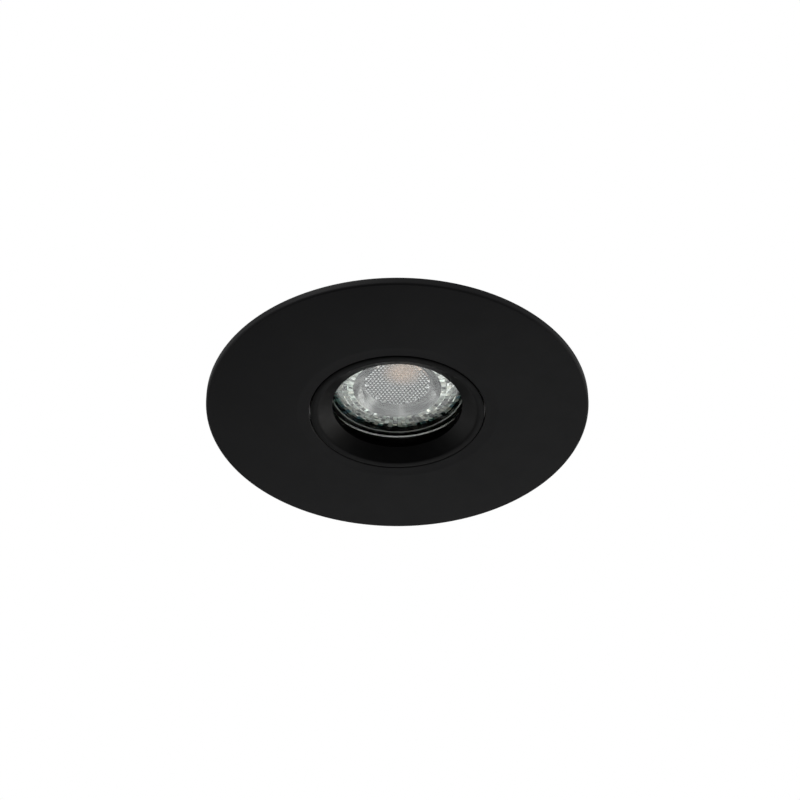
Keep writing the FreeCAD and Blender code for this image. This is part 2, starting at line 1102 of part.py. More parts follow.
def lamp_shell():
    """The moulded glass: a facetted front ring and a bowl that narrows to the base."""
    body = new_body("lamp_shell")
    front = lamp_level()
    glass = size.lamp_glass
    neck = front + size.lamp_neck_height
    inside = lens_radius() + size.lens_gap
    rear = front + size.lamp_rim + size.lamp_shoulder
    outline = [
        (inside, front + size.lamp_slope),
        (size.lamp_radius - size.lamp_chamfer, front),
        (size.lamp_radius, front + size.lamp_chamfer),
        (size.lamp_radius, front + size.lamp_rim, size.lamp_belly),
        (size.lamp_neck, neck),
        (size.lamp_neck - glass, neck, -1 * (size.lamp_belly - glass)),
        (size.lamp_radius - glass * 2, rear),
        (inside, rear),
    ]
    spin(body, draw(new_sketch(body, "XZ_Plane"), outline))
    half = size.facet_width / 2
    notch = [
        (-1 * half, front - size.overlap),
        (half, front - size.overlap),
        (0, front + size.facet_depth),
    ]
    facet = draw(new_sketch(body, "YZ_Plane", lens_radius()), notch)
    cut = pocket(body, facet, size.lamp_radius - lens_radius() + size.overlap, reverse=True)
    around(body, [cut], size.facet_count)
    return body


def lamp_lens():
    """The front lens: a sunk central disc inside a sloping ring."""
    body = new_body("lamp_lens")
    disc = lamp_level() + size.lens_depth
    outline = [
        (0, disc),
        (size.lens_disc, disc),
        (size.lens_disc + size.lens_step, disc - size.lens_step),
        (lens_radius(), disc - size.lens_slope),
        (lens_radius(), disc - size.lens_slope + size.lens_thickness),
        (0, disc - size.lens_slope + size.lens_thickness),
    ]
    spin(body, draw(new_sketch(body, "XZ_Plane"), outline))
    return body


def board_level():
    """The board's front face, behind the lens."""
    return lamp_level() + size.lens_depth + size.lens_thickness + size.board_gap


def lamp_board():
    """The round board behind the lens, with its emitter facing down."""
    body = new_body("lamp_board")
    low = board_level()
    outline = [
        (0, low - size.emitter_thickness),
        (size.emitter_radius, low - size.emitter_thickness),
        (size.emitter_radius, low),
        (size.board_radius, low),
        (size.board_radius, low + size.board_thickness),
        (0, low + size.board_thickness),
    ]
    spin(body, draw(new_sketch(body, "XZ_Plane"), outline))
    return body


def lamp_base():
    """The hollow base that closes the bowl and carries the pins."""
    body = new_body("lamp_base")
    top = lamp_top()
    wall = size.base_wall
    low = lamp_level() + size.lamp_neck_height
    spigot = size.lamp_neck - size.lamp_glass - size.base_spigot_gap
    collar = low + size.base_collar
    outline = [
        (size.base_radius - wall, low - size.base_spigot),
        (spigot, low - size.base_spigot),
        (spigot, low),
        (size.lamp_neck, low),
        (size.lamp_neck, collar),
        (size.base_radius, collar + size.base_cone),
        (size.base_radius, top - size.base_chamfer),
        (size.base_radius - size.base_chamfer, top),
        (0, top),
        (0, top - wall),
        (size.base_radius - wall, top - wall),
    ]
    spin(body, draw(new_sketch(body, "XZ_Plane"), outline))
    return body


def lamp_pins():
    """Two stepped pins, narrow at the base and wide at the end."""
    body = new_body("lamp_pins")
    bottom = lamp_top()
    spread = size.pin_spacing / 2
    neck = draw_circle(new_sketch(body, "XY_Plane", bottom), spread, 0, size.pin_neck)
    first = pad(body, neck, size.pin_neck_length)
    head_level = bottom + size.pin_neck_length
    head = draw_circle(new_sketch(body, "XY_Plane", head_level), spread, 0, size.pin_head)
    second = pad(body, head, size.pin_head_length)
    around(body, [first, second], 2)
    return body


def lamp_driver():
    """The upright board in the base with its one large capacitor."""
    body = new_body("lamp_driver")
    top = lamp_top() - size.base_wall - size.driver_gap
    low = top - size.driver_length
    half = size.driver_width / 2
    board = draw(new_sketch(body, "XZ_Plane"), rectangle(-1 * half, low, half, top))
    pad(body, board, size.driver_thickness, symmetric=True)
    side = size.driver_thickness / 2 + size.capacitor_radius - size.overlap
    foot = new_sketch(body, "XY_Plane", low + size.capacitor_rise)
    pad(body, draw_circle(foot, 0, side, size.capacitor_radius), size.capacitor_length)
    return body


# ---------------------------------------------------------------- lampholder


def arc_slot(body, half_width, level, depth, rest_radius, release_radius):
    """Two curved slots for the pins, from their place at rest back to where they let go."""
    spread = size.pin_spacing / 2
    profile = rectangle(spread - half_width, level, spread + half_width, level + depth)
    sketch = draw(new_sketch(body, "XZ_Plane"), profile)
    cuts = [spin(body, sketch, size.lamp_angle, "PartDesign::Groove", True)]
    rest = draw_circle(new_sketch(body, "XY_Plane", level + depth), spread, 0, rest_radius)
    cuts.append(pocket(body, rest, depth))
    angle = math.radians(float(size.lamp_angle))
    turn = size.lamp_angle.text
    x = Size(float(spread) * math.cos(angle), spread.text + " * cos(" + turn + ")")
    y = Size(-float(spread) * math.sin(angle), "-1 * " + spread.text + " * sin(" + turn + ")")
    release = draw_circle(new_sketch(body, "XY_Plane", level + depth), x, y, release_radius)
    cuts.append(pocket(body, release, depth))
    around(body, cuts, 2)


def lampholder():
    """The ceramic block: keyhole slots in its front, a chamber for the pins behind them."""
    body = new_body("lampholder")
    low = holder_level()
    radius = size.holder_radius
    flat = size.holder_flat
    reach = math.sqrt(float(radius) ** 2 - float(flat) ** 2)
    x = Size(reach, "sqrt(" + radius.text + "^2 - " + flat.text + "^2)")
    outline = [
        (-1 * x, -1 * flat),
        (x, -1 * flat, radius),
        (x, flat),
        (-1 * x, flat, radius),
    ]
    pad(body, draw(new_sketch(body, "XY_Plane", low), outline), size.holder_height)
    neck = size.pin_neck + size.neck_clearance
    head = size.pin_head + size.head_clearance
    relief = size.keyhole_relief
    arc_slot(body, neck, low, size.holder_front, neck + relief, head + relief)
    chamber = low + size.holder_front
    arc_slot(body, head, chamber, size.holder_cavity, head + relief, head + relief)
    leads = new_sketch(body, "XY_Plane", holder_top())
    draw_circle(leads, size.pin_spacing / 2, 0, size.lead_radius + size.lead_clearance)
    depth = size.holder_height - size.holder_front - size.holder_cavity
    around(body, [pocket(body, leads, depth)], 2)
    screws = new_sketch(body, "XY_Plane", holder_top())
    draw_circle(screws, 0, size.holder_screw_offset, tapped_radius())
    around(body, [pocket(body, screws, size.holder_screw_depth)], 2)
    return body


def contact_level():
    """The underside of the holder's contacts, just clear of the pins."""
    return lamp_top() + size.pin_neck_length + size.pin_head_length + size.contact_gap


def holder_contacts():
    """Two contact leaves above the pins, each with a barrel crimped to its lead."""
    body = new_body("holder_contacts")
    spread = size.pin_spacing / 2
    wide = size.contact_width / 2
    long = size.contact_length / 2
    leaf = rectangle(spread - wide, -1 * long, spread + wide, long)
    leaf_sketch = draw(new_sketch(body, "XY_Plane", contact_level()), leaf)
    first = pad(body, leaf_sketch, size.contact_thickness)
    back = contact_level() + size.contact_thickness
    barrel = new_sketch(body, "XY_Plane", back)
    draw_circle(barrel, spread, 0, size.lead_radius + size.contact_barrel)
    second = pad(body, barrel, lead_start() - back)
    around(body, [first, second], 2)
    return body


def lead_start():
    """Where the two leads begin, inside the holder."""
    return holder_top() - size.lead_entry


def holder_bracket():
    """A bent strip: a web over the holder, two legs and two feet against the can's roof."""
    body = new_body("holder_bracket")
    gauge = size.bracket_thickness
    web = holder_top()
    strip = draw(new_sketch(body, "XZ_Plane"), bracket_outline())
    pad(body, strip, size.bracket_width, symmetric=True)
    reach = size.holder_screw_offset + size.bracket_ear_edge
    half = size.bracket_ear / 2
    ears = rounded(-1 * half, -1 * reach, half, reach, size.bracket_ear_round)
    pad(body, draw(new_sketch(body, "XY_Plane", web), ears), gauge)
    window = slot_outline(size.window_length / 2, size.window_width / 2)
    pocket(body, draw(new_sketch(body, "XY_Plane", web + gauge), window), gauge)
    hole = size.m3_radius + size.m3_clearance
    holder = new_sketch(body, "XY_Plane", web + gauge)
    draw_circle(holder, 0, size.holder_screw_offset, hole)
    around(body, [pocket(body, holder, gauge)], 2)
    roof = draw_circle(
        new_sketch(body, "XY_Plane", ceiling_level()), roof_screw_x(), 0, hole
    )
    around(body, [pocket(body, roof, gauge)], 2)
    earth = new_sketch(body, "XY_Plane", web + gauge)
    draw_circle(earth, -1 * earth_screw_x(), 0, hole)
    pocket(body, earth, gauge)
    return body


def bracket_outline():
    """The bracket's bent strip seen from its edge."""
    gauge = size.bracket_thickness
    web = holder_top()
    top = ceiling_level()
    leg = bracket_leg()
    foot = bracket_foot()
    bend = size.bracket_bend
    right = [
        (leg - bend, web, bend),
        (leg, web + bend),
        (leg, top - gauge),
        (foot, top - gauge),
        (foot, top),
        (leg - gauge, top),
        (leg - gauge, web + bend, gauge - bend),
        (leg - bend, web + gauge),
    ]
    left = [
        (bend - leg, web + gauge, gauge - bend),
        (gauge - leg, web + bend),
        (gauge - leg, top),
        (-1 * foot, top),
        (-1 * foot, top - gauge),
        (-1 * leg, top - gauge),
        (-1 * leg, web + bend, bend),
        (bend - leg, web),
    ]
    return right + left


# ---------------------------------------------------------------- can


def lamp_can():
    """The drawn can: flange, straight wall with a swaged bead, and a flat roof."""
    body = new_body("lamp_can")
    wall = size.can_wall
    outer = can_radius()
    inner = outer - wall
    low = can_level()
    high = roof_level()
    corner = size.can_corner
    fillet = size.can_fillet
    crest = size.bead_half
    foot = crest + size.bead_slope
    bead = bead_level()
    swell = size.bead_height
    outline = [
        (inner, low),
        (can_flange(), low),
        (can_flange(), low + wall),
        (outer + fillet, low + wall, -1 * fillet),
        (outer, low + wall + fillet),
        (outer, bead - foot),
        (outer + swell, bead - crest),
        (outer + swell, bead + crest),
        (outer, bead + foot),
        (outer, high - corner, corner),
        (outer - corner, high),
        (0, high),
        (0, high - wall),
        (outer - corner, high - wall, -1 * (corner - wall)),
        (inner, high - corner),
        (inner, bead + foot),
        (inner + swell, bead + crest),
        (inner + swell, bead - crest),
        (inner, bead - foot),
    ]
    spin(body, draw(new_sketch(body, "XZ_Plane"), outline))
    hole = size.m3_radius + size.m3_clearance
    flange = new_sketch(body, "XY_Plane", low + wall)
    screw = draw_circle(flange, 0, boss_circle(), hole)
    around(body, [pocket(body, screw, wall)], size.boss_count)
    rivets = new_sketch(body, "XY_Plane", low + wall)
    draw_circle(rivets, rivet_radius(), size.rivet_offset, size.rivet_radius)
    draw_circle(rivets, rivet_radius(), -1 * size.rivet_offset, size.rivet_radius)
    around(body, [pocket(body, rivets, wall)], 2)
    roof = new_sketch(body, "XY_Plane", high)
    draw_circle(roof, roof_screw_x(), 0, hole)
    draw_circle(roof, size.box_screw_x, -1 * box_screw_y(), hole)
    around(body, [pocket(body, roof, wall)], 2)
    gland = draw_circle(
        new_sketch(body, "XY_Plane", high), -1 * grommet_offset(), 0, size.grommet_neck
    )
    pocket(body, gland, wall)
    return body


def flange_gasket():
    """The flat seal between the collar and the can, pierced for the screws."""
    low = flange_level() + size.collar_flange_thickness
    inner = collar_bore() + size.collar_wall + size.channel_gap
    thick = size.flange_gasket_thickness
    body = ring("flange_gasket", inner, collar_flange(), low, low + thick)
    hole = new_sketch(body, "XY_Plane", low + thick)
    draw_circle(hole, 0, boss_circle(), size.m3_radius + size.m3_clearance)
    around(body, [pocket(body, hole, thick)], size.boss_count)
    return body


# ---------------------------------------------------------------- fasteners


def pan_screw(body, x, y, seat, length, down=True):
    """One slotted pan-head screw whose head stands on the level of its seat."""
    head = new_sketch(body, "XY_Plane", seat)
    draw_circle(head, x, y, size.m3_head_radius)
    shank = new_sketch(body, "XY_Plane", seat)
    draw_circle(shank, x, y, size.m3_radius)
    slot = new_sketch(body, "XY_Plane", seat + size.m3_head_height)
    reach = size.m3_head_radius + size.slot_overrun
    half = size.m3_slot_width / 2
    draw(slot, rectangle(x - reach, y - half, x + reach, y + half))
    return [
        pad(body, head, size.m3_head_height),
        pad(body, shank, length, reverse=True),
        pocket(body, slot, size.m3_slot_depth),
    ]


def flange_screws():
    """Three screws down through the can and the collar into the plate's bosses."""
    body = new_body("flange_screws")
    seat = can_level() + size.can_wall
    length = seat - floor_level() - size.screw_tip_gap
    around(body, pan_screw(body, 0, boss_circle(), seat, length), size.boss_count)
    return body


def holder_screws():
    """Two screws down through the bracket into the lampholder."""
    body = new_body("holder_screws")
    seat = holder_top() + size.bracket_thickness
    length = size.bracket_thickness + size.holder_screw_depth - size.screw_tip_gap
    around(body, pan_screw(body, 0, size.holder_screw_offset, seat, length), 2)
    return body


def roof_screws():
    """Two screws down through the roof into the bracket's feet."""
    body = new_body("roof_screws")
    grip = size.can_wall + size.bracket_thickness
    length = grip + size.m3_nut_height + size.screw_tail
    around(body, pan_screw(body, roof_screw_x(), 0, roof_level(), length), 2)
    return body


def hexagon(x, y, radius):
    """The six corners of a nut."""
    corners = []
    for index in range(6):
        angle = math.radians(60 * index)
        corners.append((x + radius * math.cos(angle), y + radius * math.sin(angle)))
    return corners


def nut(body, x, y, top):
    sketch = draw(new_sketch(body, "XY_Plane", top), hexagon(x, y, size.m3_nut_radius))
    solid = pad(body, sketch, size.m3_nut_height, reverse=True)
    bore = draw_circle(new_sketch(body, "XY_Plane", top), x, y, size.m3_radius)
    return [solid, pocket(body, bore, size.m3_nut_height)]


def roof_nuts():
    """The two nuts under the bracket's feet."""
    body = new_body("roof_nuts")
    top = ceiling_level() - size.bracket_thickness
    around(body, nut(body, roof_screw_x(), 0, top), 2)
    return body


def box_screws():
    """Two screws down through the terminal box's floor into the roof."""
    body = new_body("box_screws")
    y = -1 * box_screw_y()
    screw = pan_screw(body, size.box_screw_x, y, box_floor(), size.box_screw_length)
    around(body, screw, 2)
    return body


def rivet_radius():
    """How far out the clip brackets' rivets stand."""
    return (foot_inner() + foot_outer()) / 2


def bracket_rivets():
    """Four domed rivets that hold the clip brackets on the can's flange."""
    body = new_body("bracket_rivets")
    low = can_level()
    foot = low + size.can_wall + size.bracket_thickness
    made = []
    for side in (1, -1):
        y = side * size.rivet_offset
        shank = draw_circle(
            new_sketch(body, "XY_Plane", low), rivet_radius(), y, size.rivet_radius
        )
        made.append(pad(body, shank, foot - low))
        head = draw_circle(
            new_sketch(body, "XY_Plane", foot), rivet_radius(), y, size.rivet_head
        )
        feature = pad(body, head, size.rivet_dome)
        bind(feature, "TaperAngle", -1 * size.rivet_taper_angle)
        made.append(feature)
    around(body, made, 2)
    return body


# ---------------------------------------------------------------- spring clips


def clip_bracket(name, side):
    """A folded bracket: foot, two ears with the pin's holes, and the arm's stop."""
    body = new_body(name)
    gauge = size.bracket_thickness
    low = can_level() + size.can_wall
    pivot_x = side * pivot_radius()
    pivot_z = pivot_level()
    inner = side * foot_inner()
    outer = side * foot_outer()
    half = size.ear_width / 2
    foot = draw(new_sketch(body, "XY_Plane", low), rectangle(inner, -1 * half, outer, half))
    pad(body, foot, gauge)
    rivets = new_sketch(body, "XY_Plane", low + gauge)
    for y in (size.rivet_offset, -1 * size.rivet_offset):
        draw_circle(rivets, side * rivet_radius(), y, size.rivet_radius)
    pocket(body, rivets, gauge)
    # the plane's normal points to -Y, so the ear is lifted to the side and thickened inwards
    ear_sketch = draw(new_sketch(body, "XZ_Plane", half), ear_outline(side, low))
    plate = pad(body, ear_sketch, gauge, reverse=True)
    bore = draw_circle(
        new_sketch(body, "XZ_Plane", half), pivot_x, pivot_z, size.pivot_pin + size.pivot_clearance
    )
    hole = pocket(body, bore, gauge)
    across(body, [plate, hole], "XZ_Plane")
    half = size.stop_width / 2
    tab = rectangle(outer - side * gauge, -1 * half, outer, half)
    pad(body, draw(new_sketch(body, "XY_Plane", low), tab), stop_level() - low)
    return body


def ear_outline(side, low):
    """The ear seen from its side: straight flanks up to a half round over the pin."""
    reach = size.ear_round
    level = pivot_level()
    return [
        (side * foot_inner(), low),
        (side * foot_outer(), low),
        (side * (pivot_radius() + reach), level, side * reach),
        (side * pivot_radius(), level + reach, side * reach),
        (side * (pivot_radius() - reach), level),
    ]


def stop_level():
    """How high the stop reaches, so that the arm's sheet rests on its outer corner."""
    angle = math.radians(float(size.arm_angle))
    drop = size.arm_drop + size.arm_sheet + size.stop_clearance
    turn = size.arm_angle.text
    fall = Size(float(drop) / math.cos(angle), drop.text + " / cos(" + turn + ")")
    run = foot_outer() - pivot_radius()
    slope = Size(float(run) * math.tan(angle), run.text + " * tan(" + turn + ")")
    return pivot_level() - fall - slope


def pivot_pin(name, side):
    """A headed pin through both ears, spread at its far end."""
    body = new_body(name)
    x = side * pivot_radius()
    z = pivot_level()
    half = size.ear_width / 2
    length = size.ear_width + size.pivot_pin_overhang
    shank = draw_circle(new_sketch(body, "XZ_Plane", half), x, z, size.pivot_pin)
    pad(body, shank, length, reverse=True)
    head = draw_circle(new_sketch(body, "XZ_Plane", half), x, z, size.pivot_pin_head)
    pad(body, head, size.pivot_pin_overhang)
    far = half - length + size.pivot_pin_overhang - size.pin_tail
    spread = new_sketch(body, "XZ_Plane", far)
    draw_circle(spread, x, z, size.pivot_pin + size.pin_spread)
    pad(body, spread, size.pin_spread_length, reverse=True)
    return body


def arm_blank(body, side):
    """The arm in its own frame: the pivot at the origin, the arm along X."""
    sheet = size.arm_sheet
    drop = size.arm_drop
    half = size.arm_width / 2
    rise = size.cheek_rise
    corner = size.cheek_corner
    web = rectangle(side * size.arm_start, -1 * half, side * size.arm_length, half)
    pad(body, draw(new_sketch(body, "XY_Plane", -1 * drop), web), sheet, reverse=True)
    cheek = [
        (-1 * side * rise, -1 * corner),
        (side * size.cheek_toe, -1 * (drop + sheet)),
        (side * size.cheek_length, -1 * (drop + sheet)),
        (side * size.cheek_length, size.cheek_step - drop),
        (side * size.ear_round, rise),
        (-1 * side * corner, rise),
    ]
    cheek_sketch = draw(new_sketch(body, "XZ_Plane", half), cheek)
    side_plate = pad(body, cheek_sketch, sheet, reverse=True)
    bore = new_sketch(body, "XZ_Plane", half)
    draw_circle(bore, 0, 0, size.pivot_pin + size.pivot_clearance)
    hole = pocket(body, bore, sheet)
    across(body, [side_plate, hole], "XZ_Plane")


def spring_arm(name, side):
    """The channel-shaped arm that presses the soffit from above."""
    body = new_body(name)
    arm_blank(body, side)
    return place_on_pivot(body, side)


def place_on_pivot(body, side):
    """Lay an arm's piece at its angle on the pivot."""
    return place(
        body,
        x=side * pivot_radius(),
        z=pivot_level(),
        angle=side * size.arm_angle,
        axis=Vector(0, 1, 0),
    )


def arm_pad(name, side):
    """The rubber boot over the arm's end."""
    body = new_body(name)
    wall = size.pad_wall
    half = size.arm_width / 2
    end = size.arm_length
    low = -1 * (size.arm_drop + size.arm_sheet) - wall
    high = wall - size.arm_drop
    corner = size.pad_corner
    start = side * (end - size.pad_length)
    nose = side * (end + wall)
    outer = [
        (start, low),
        (nose - side * corner, low, side * size.pad_round),
        (nose, low + corner),
        (nose, high - corner, side * size.pad_round),
        (nose - side * corner, high),
        (start, high),
    ]
    profile = draw(new_sketch(body, "XZ_Plane"), outer)
    pad(body, profile, size.arm_width + wall * 2, symmetric=True)
    slot = rectangle(start - side * size.pad_mouth, -1 * half, side * end, half)
    mouth = draw(new_sketch(body, "XY_Plane", -1 * size.arm_drop), slot)
    pocket(body, mouth, size.arm_sheet)
    return place_on_pivot(body, side)


# ---------------------------------------------------------------- torsion springs


def arc_through(start, control, end):
    """The arc that leaves start towards the control point and arrives from it."""
    middle = (start + end) * 0.5
    rise = control - middle
    half = (end - start).Length / 2
    bend = math.atan2(rise.Length, half)
    top = middle + rise.normalize() * (half * math.tan(bend / 2))
    return Part.Arc(start, top, end).toShape()


def biarc(start, leaving, end, arriving):
    """Two tangent arcs from one point and direction to another."""
    span = end - start
    total = leaving + arriving
    square = total.dot(total) - 4
    across_span = span.dot(total)
    reach = (across_span - math.sqrt(across_span**2 - square * span.dot(span))) / square
    first = start + leaving * reach
    second = end - arriving * reach
    joint = (first + second) * 0.5
    return [arc_through(start, first, joint), arc_through(joint, second, end)]


def coil_point(radius, rise, angle, side):
    """A point on the coil and the coil's direction there, about the pivot's Y axis."""
    point = Vector(side * radius * math.cos(angle), rise * angle, radius * math.sin(angle))
    way = Vector(-side * radius * math.sin(angle), rise, radius * math.cos(angle))
    return point, way.normalize()


def least_gap(path, diameter, turn_length):
    """The smallest distance between the wire's skins on different turns."""
    points = path.discretize(Distance=GAP_STEP)
    step = path.Length / (len(points) - 1)
    skip = int(turn_length / 2 / step)
    least = min(
        (points[i] - points[j]).Length
        for i in range(len(points))
        for j in range(i + skip, len(points))
    )
    return least - diameter


def clip_spring(name, side):
    """A torsion spring: one leg leans on the can, the coil, one leg lies on the arm."""
    radius = float(size.spring_radius)
    wire = float(size.spring_wire)
    back = float(size.spring_back_leg)
    offset = float(size.spring_pitch * size.spring_turns) / 2
    can_x = math.sqrt(float(can_radius()) ** 2 - offset**2)
    gap = float(pivot_radius()) - can_x - wire - float(size.spring_touch)
    lean = math.atan2(back, radius) - math.acos(gap / math.hypot(radius, back))
    first = math.pi + lean
    last = first + 2 * math.pi * float(size.spring_turns)
    last += math.radians(90 - float(size.arm_angle)) - lean
    rise = float(size.spring_pitch) / (2 * math.pi)
    quarters = round((last - first) / (math.pi / 2))
    angles = [first + (last - first) * i / quarters for i in range(quarters + 1)]
    edges = []
    for start, end in zip(angles, angles[1:]):
        point, way = coil_point(radius, rise, start, side)
        other, other_way = coil_point(radius, rise, end, side)
        edges += biarc(point, way, other, other_way)
    point, way = coil_point(radius, rise, first, side)
    tail = point - way * back
    edges.insert(0, Part.LineSegment(tail, point).toShape())
    other, other_way = coil_point(radius, rise, last, side)
    edges.append(Part.LineSegment(other, other + other_way * float(size.spring_front_leg)).toShape())
    path = Part.Wire(edges)
    circle = Part.Wire(Part.Circle(tail, way, wire).toShape())
    solid = path.makePipeShell([circle], True, False)
    middle = rise * (first + last) / 2
    spring = document.addObject("Part::Feature", name)
    spring.Label = name
    spring.Shape = solid
    spring.Placement = Placement(
        Vector(side * float(pivot_radius()), -middle, float(pivot_level())), Rotation()
    )
    volume = math.pi * wire**2 * path.Length
    print(name, "volume", round(solid.Volume, 2), "of", round(volume, 2))
    gap = least_gap(path, 2 * wire, 2 * math.pi * radius)
    print(name, "least gap between turns", round(gap, 3))
    return spring


# ---------------------------------------------------------------- terminal box


def hinge_y():
    return -1 * (size.box_width / 2 + size.knuckle_radius + size.knuckle_gap)


def hinge_z():
    return box_rim() + size.lid_gap + size.hinge_rise


def knuckle(body, start, end, root):
    """A hinge knuckle along X with a foot to the piece that carries it."""
    sketch = new_sketch(body, "YZ_Plane", start)
    y = hinge_y()
    z = hinge_z()
    radius = size.knuckle_radius
    draw(sketch, root(y, z, radius))
    return pad(body, sketch, end - start)


def base_root(y, z, radius):
    """A knuckle that grows out of the box's back wall."""
    wall = size.knuckle_sink - size.box_width / 2
    return [
        (wall, z - size.knuckle_root),
        (wall, box_rim()),
        (y + radius, box_rim()),
        (y + radius, z, radius),
        (y - radius, z),
    ]


def lid_root(y, z, radius):
    """A knuckle that grows out of the lid's edge."""
    low = box_rim() + size.lid_gap
    top = low + size.lid_thickness
    edge = y + radius + size.knuckle_bridge
    return [
        (y, z - radius),
        (y + radius, low),
        (edge, low),
        (edge, top),
        (y, top),
    ]


def terminal_base():
    """The moulded box: walls, hinge knuckles, catch, block posts and the clamp's saddle."""
    body = new_body("terminal_base")
    low = roof_level()
    x = box_length() / 2
    y = size.box_width / 2
    wall = size.box_wall
    corner = size.box_corner
    outer = rounded(-1 * x, -1 * y, x, y, corner)
    pad(body, draw(new_sketch(body, "XY_Plane", low), outer), size.box_height)
    inner = rounded(wall - x, wall - y, x - wall, y - wall, corner - wall)
    cavity = draw(new_sketch(body, "XY_Plane", box_rim()), inner)
    pocket(body, cavity, size.box_height - wall)
    clamp_saddle(body)
    block_posts(body)
    catch(body)
    base_knuckles(body)
    base_holes(body)
    return body


def clamp_saddle(body):
    """The lower half of the cable clamp, with its two tapped holes."""
    start = clamp_start()
    half = size.clamp_width / 2
    end = start + size.clamp_length
    saddle = rectangle(start, -1 * half, end, half)
    top = wire_level() - size.clamp_split
    sunk = box_floor() - size.overlap
    pad(body, draw(new_sketch(body, "XY_Plane", sunk), saddle), top - sunk)
    arch = draw_circle(new_sketch(body, "YZ_Plane", end), 0, wire_level(), size.clamp_arch)
    pocket(body, arch, size.clamp_length)
    screws = new_sketch(body, "XY_Plane", top)
    middle = start + size.clamp_length / 2
    draw_circle(screws, middle, size.clamp_screw_offset, tapped_radius())
    draw_circle(screws, middle, -1 * size.clamp_screw_offset, tapped_radius())
    pocket(body, screws, size.clamp_thread_depth)


def block_posts(body):
    """Two rails that carry the terminal block off the floor."""
    start = block_start() + size.rail_setback
    end = block_start() + size.block_length - size.rail_setback
    outer = size.block_width / 2 - size.rail_edge
    inner = outer - size.rail_width
    rails = new_sketch(body, "XY_Plane", box_floor() - size.overlap)
    draw(rails, rectangle(start, inner, end, outer))
    draw(rails, rectangle(start, -1 * outer, end, -1 * inner))
    pad(body, rails, block_post() + size.overlap)


def catch(body):
    """The wedge that the lid's tab snaps over."""
    face = size.box_width / 2
    inside = face - size.catch_sink
    high = window_top() - size.catch_gap
    low = high - size.catch_height
    reach = size.catch_reach
    wedge = [
        (inside, low),
        (face, low),
        (face + reach, high - size.catch_nose),
        (face + reach, high),
        (inside, high),
    ]
    width = size.tab_width / 2 - size.tab_bar - size.catch_side
    pad(body, draw(new_sketch(body, "YZ_Plane", -1 * width), wedge), width * 2)


def tab_foot():
    """The lower end of the lid's tab."""
    return box_rim() + size.lid_gap - size.tab_length


def window_top():
    return tab_foot() + size.tab_bar + size.tab_window


def base_knuckles(body):
    """The two bored knuckles on the box's back wall."""
    half = size.knuckle_width / 2
    inner = size.knuckle_offset - half
    made = knuckle(body, inner, inner + size.knuckle_width, base_root)
    bore = new_sketch(body, "YZ_Plane", inner + size.knuckle_width)
    draw_circle(bore, hinge_y(), hinge_z(), size.hinge_pin)
    across(body, [made, pocket(body, bore, size.knuckle_width)], "YZ_Plane")


def base_holes(body):
    """The cable entry, the leads' grommet and the two screws in the floor."""
    end = box_length() / 2
    entry = draw_circle(new_sketch(body, "YZ_Plane", end), 0, wire_level(), size.entry_hole)
    pocket(body, entry, size.box_wall)
    floor = new_sketch(body, "XY_Plane", box_floor())
    draw_circle(floor, -1 * grommet_offset(), 0, size.grommet_neck)
    pocket(body, floor, size.box_wall)
    screws = new_sketch(body, "XY_Plane", box_floor())
    hole = size.m3_radius + size.m3_clearance
    draw_circle(screws, size.box_screw_x, -1 * box_screw_y(), hole)
    around(body, [pocket(body, screws, size.box_wall)], 2)


def terminal_lid():
    """The lid: a plate with a lip inside the walls, its knuckle and the windowed tab."""
    body = new_body("terminal_lid")
    x = box_length() / 2
    y = size.box_width / 2
    low = box_rim() + size.lid_gap
    plate = rounded(-1 * x, -1 * y, x, y, size.box_corner)
    pad(body, draw(new_sketch(body, "XY_Plane", low), plate), size.lid_thickness)
    lip = size.box_wall + size.lid_lip_clearance
    around_lip = new_sketch(body, "XY_Plane", low + size.overlap)
    corner = size.box_corner - size.box_wall
    draw(around_lip, rounded(lip - x, lip - y, x - lip, y - lip, corner))
    inner = lip + size.lid_lip_thickness
    draw(around_lip, rectangle(inner - x, inner - y, x - inner, y - inner))
    pad(body, around_lip, size.lid_lip + size.overlap, reverse=True)
    half = size.knuckle_offset - size.knuckle_width / 2 - size.knuckle_gap
    knuckle(body, -1 * half, half, lid_root)
    knuckle_round(body, half)
    bore = new_sketch(body, "YZ_Plane", half)
    draw_circle(bore, hinge_y(), hinge_z(), size.hinge_pin + size.pivot_clearance)
    pocket(body, bore, half * 2)
    lid_tab(body, low)
    return body


def knuckle_round(body, half):
    """The round of the lid's knuckle about the pin."""
    sketch = new_sketch(body, "YZ_Plane", -1 * half)
    draw_circle(sketch, hinge_y(), hinge_z(), size.knuckle_radius)
    pad(body, sketch, half * 2)


def lid_tab(body, low):
    """The tab that hangs from the lid's front edge, with the catch's window."""
    face = size.box_width / 2 + size.tab_gap
    half = size.tab_width / 2
    root = size.box_width / 2 - size.tab_root
    outside = face + size.tab_thickness
    high = low + size.lid_thickness
    strap = [
        (root, low),
        (face, low),
        (face, tab_foot()),
        (outside, tab_foot()),
        (outside, high),
        (root, high),
    ]
    pad(body, draw(new_sketch(body, "YZ_Plane", -1 * half), strap), size.tab_width)
    # the plane's normal points to -Y, so the window is cut from the far side towards the box
    window = new_sketch(body, "XZ_Plane", -1 * outside)
    side = half - size.tab_bar
    draw(window, rectangle(-1 * side, tab_foot() + size.tab_bar, side, window_top()))
    pocket(body, window, size.tab_thickness, reverse=True)


def lid_pin():
    """The hinge pin through all the knuckles."""
    body = new_body("lid_pin")
    half = size.knuckle_offset + size.knuckle_width / 2
    sketch = new_sketch(body, "YZ_Plane", -1 * half)
    draw_circle(sketch, hinge_y(), hinge_z(), size.hinge_pin)
    pad(body, sketch, half * 2)
    return body


def pole_places():
    """How far each of the three poles lies from the block's middle."""
    return (-1 * size.pole_pitch, 0, size.pole_pitch)


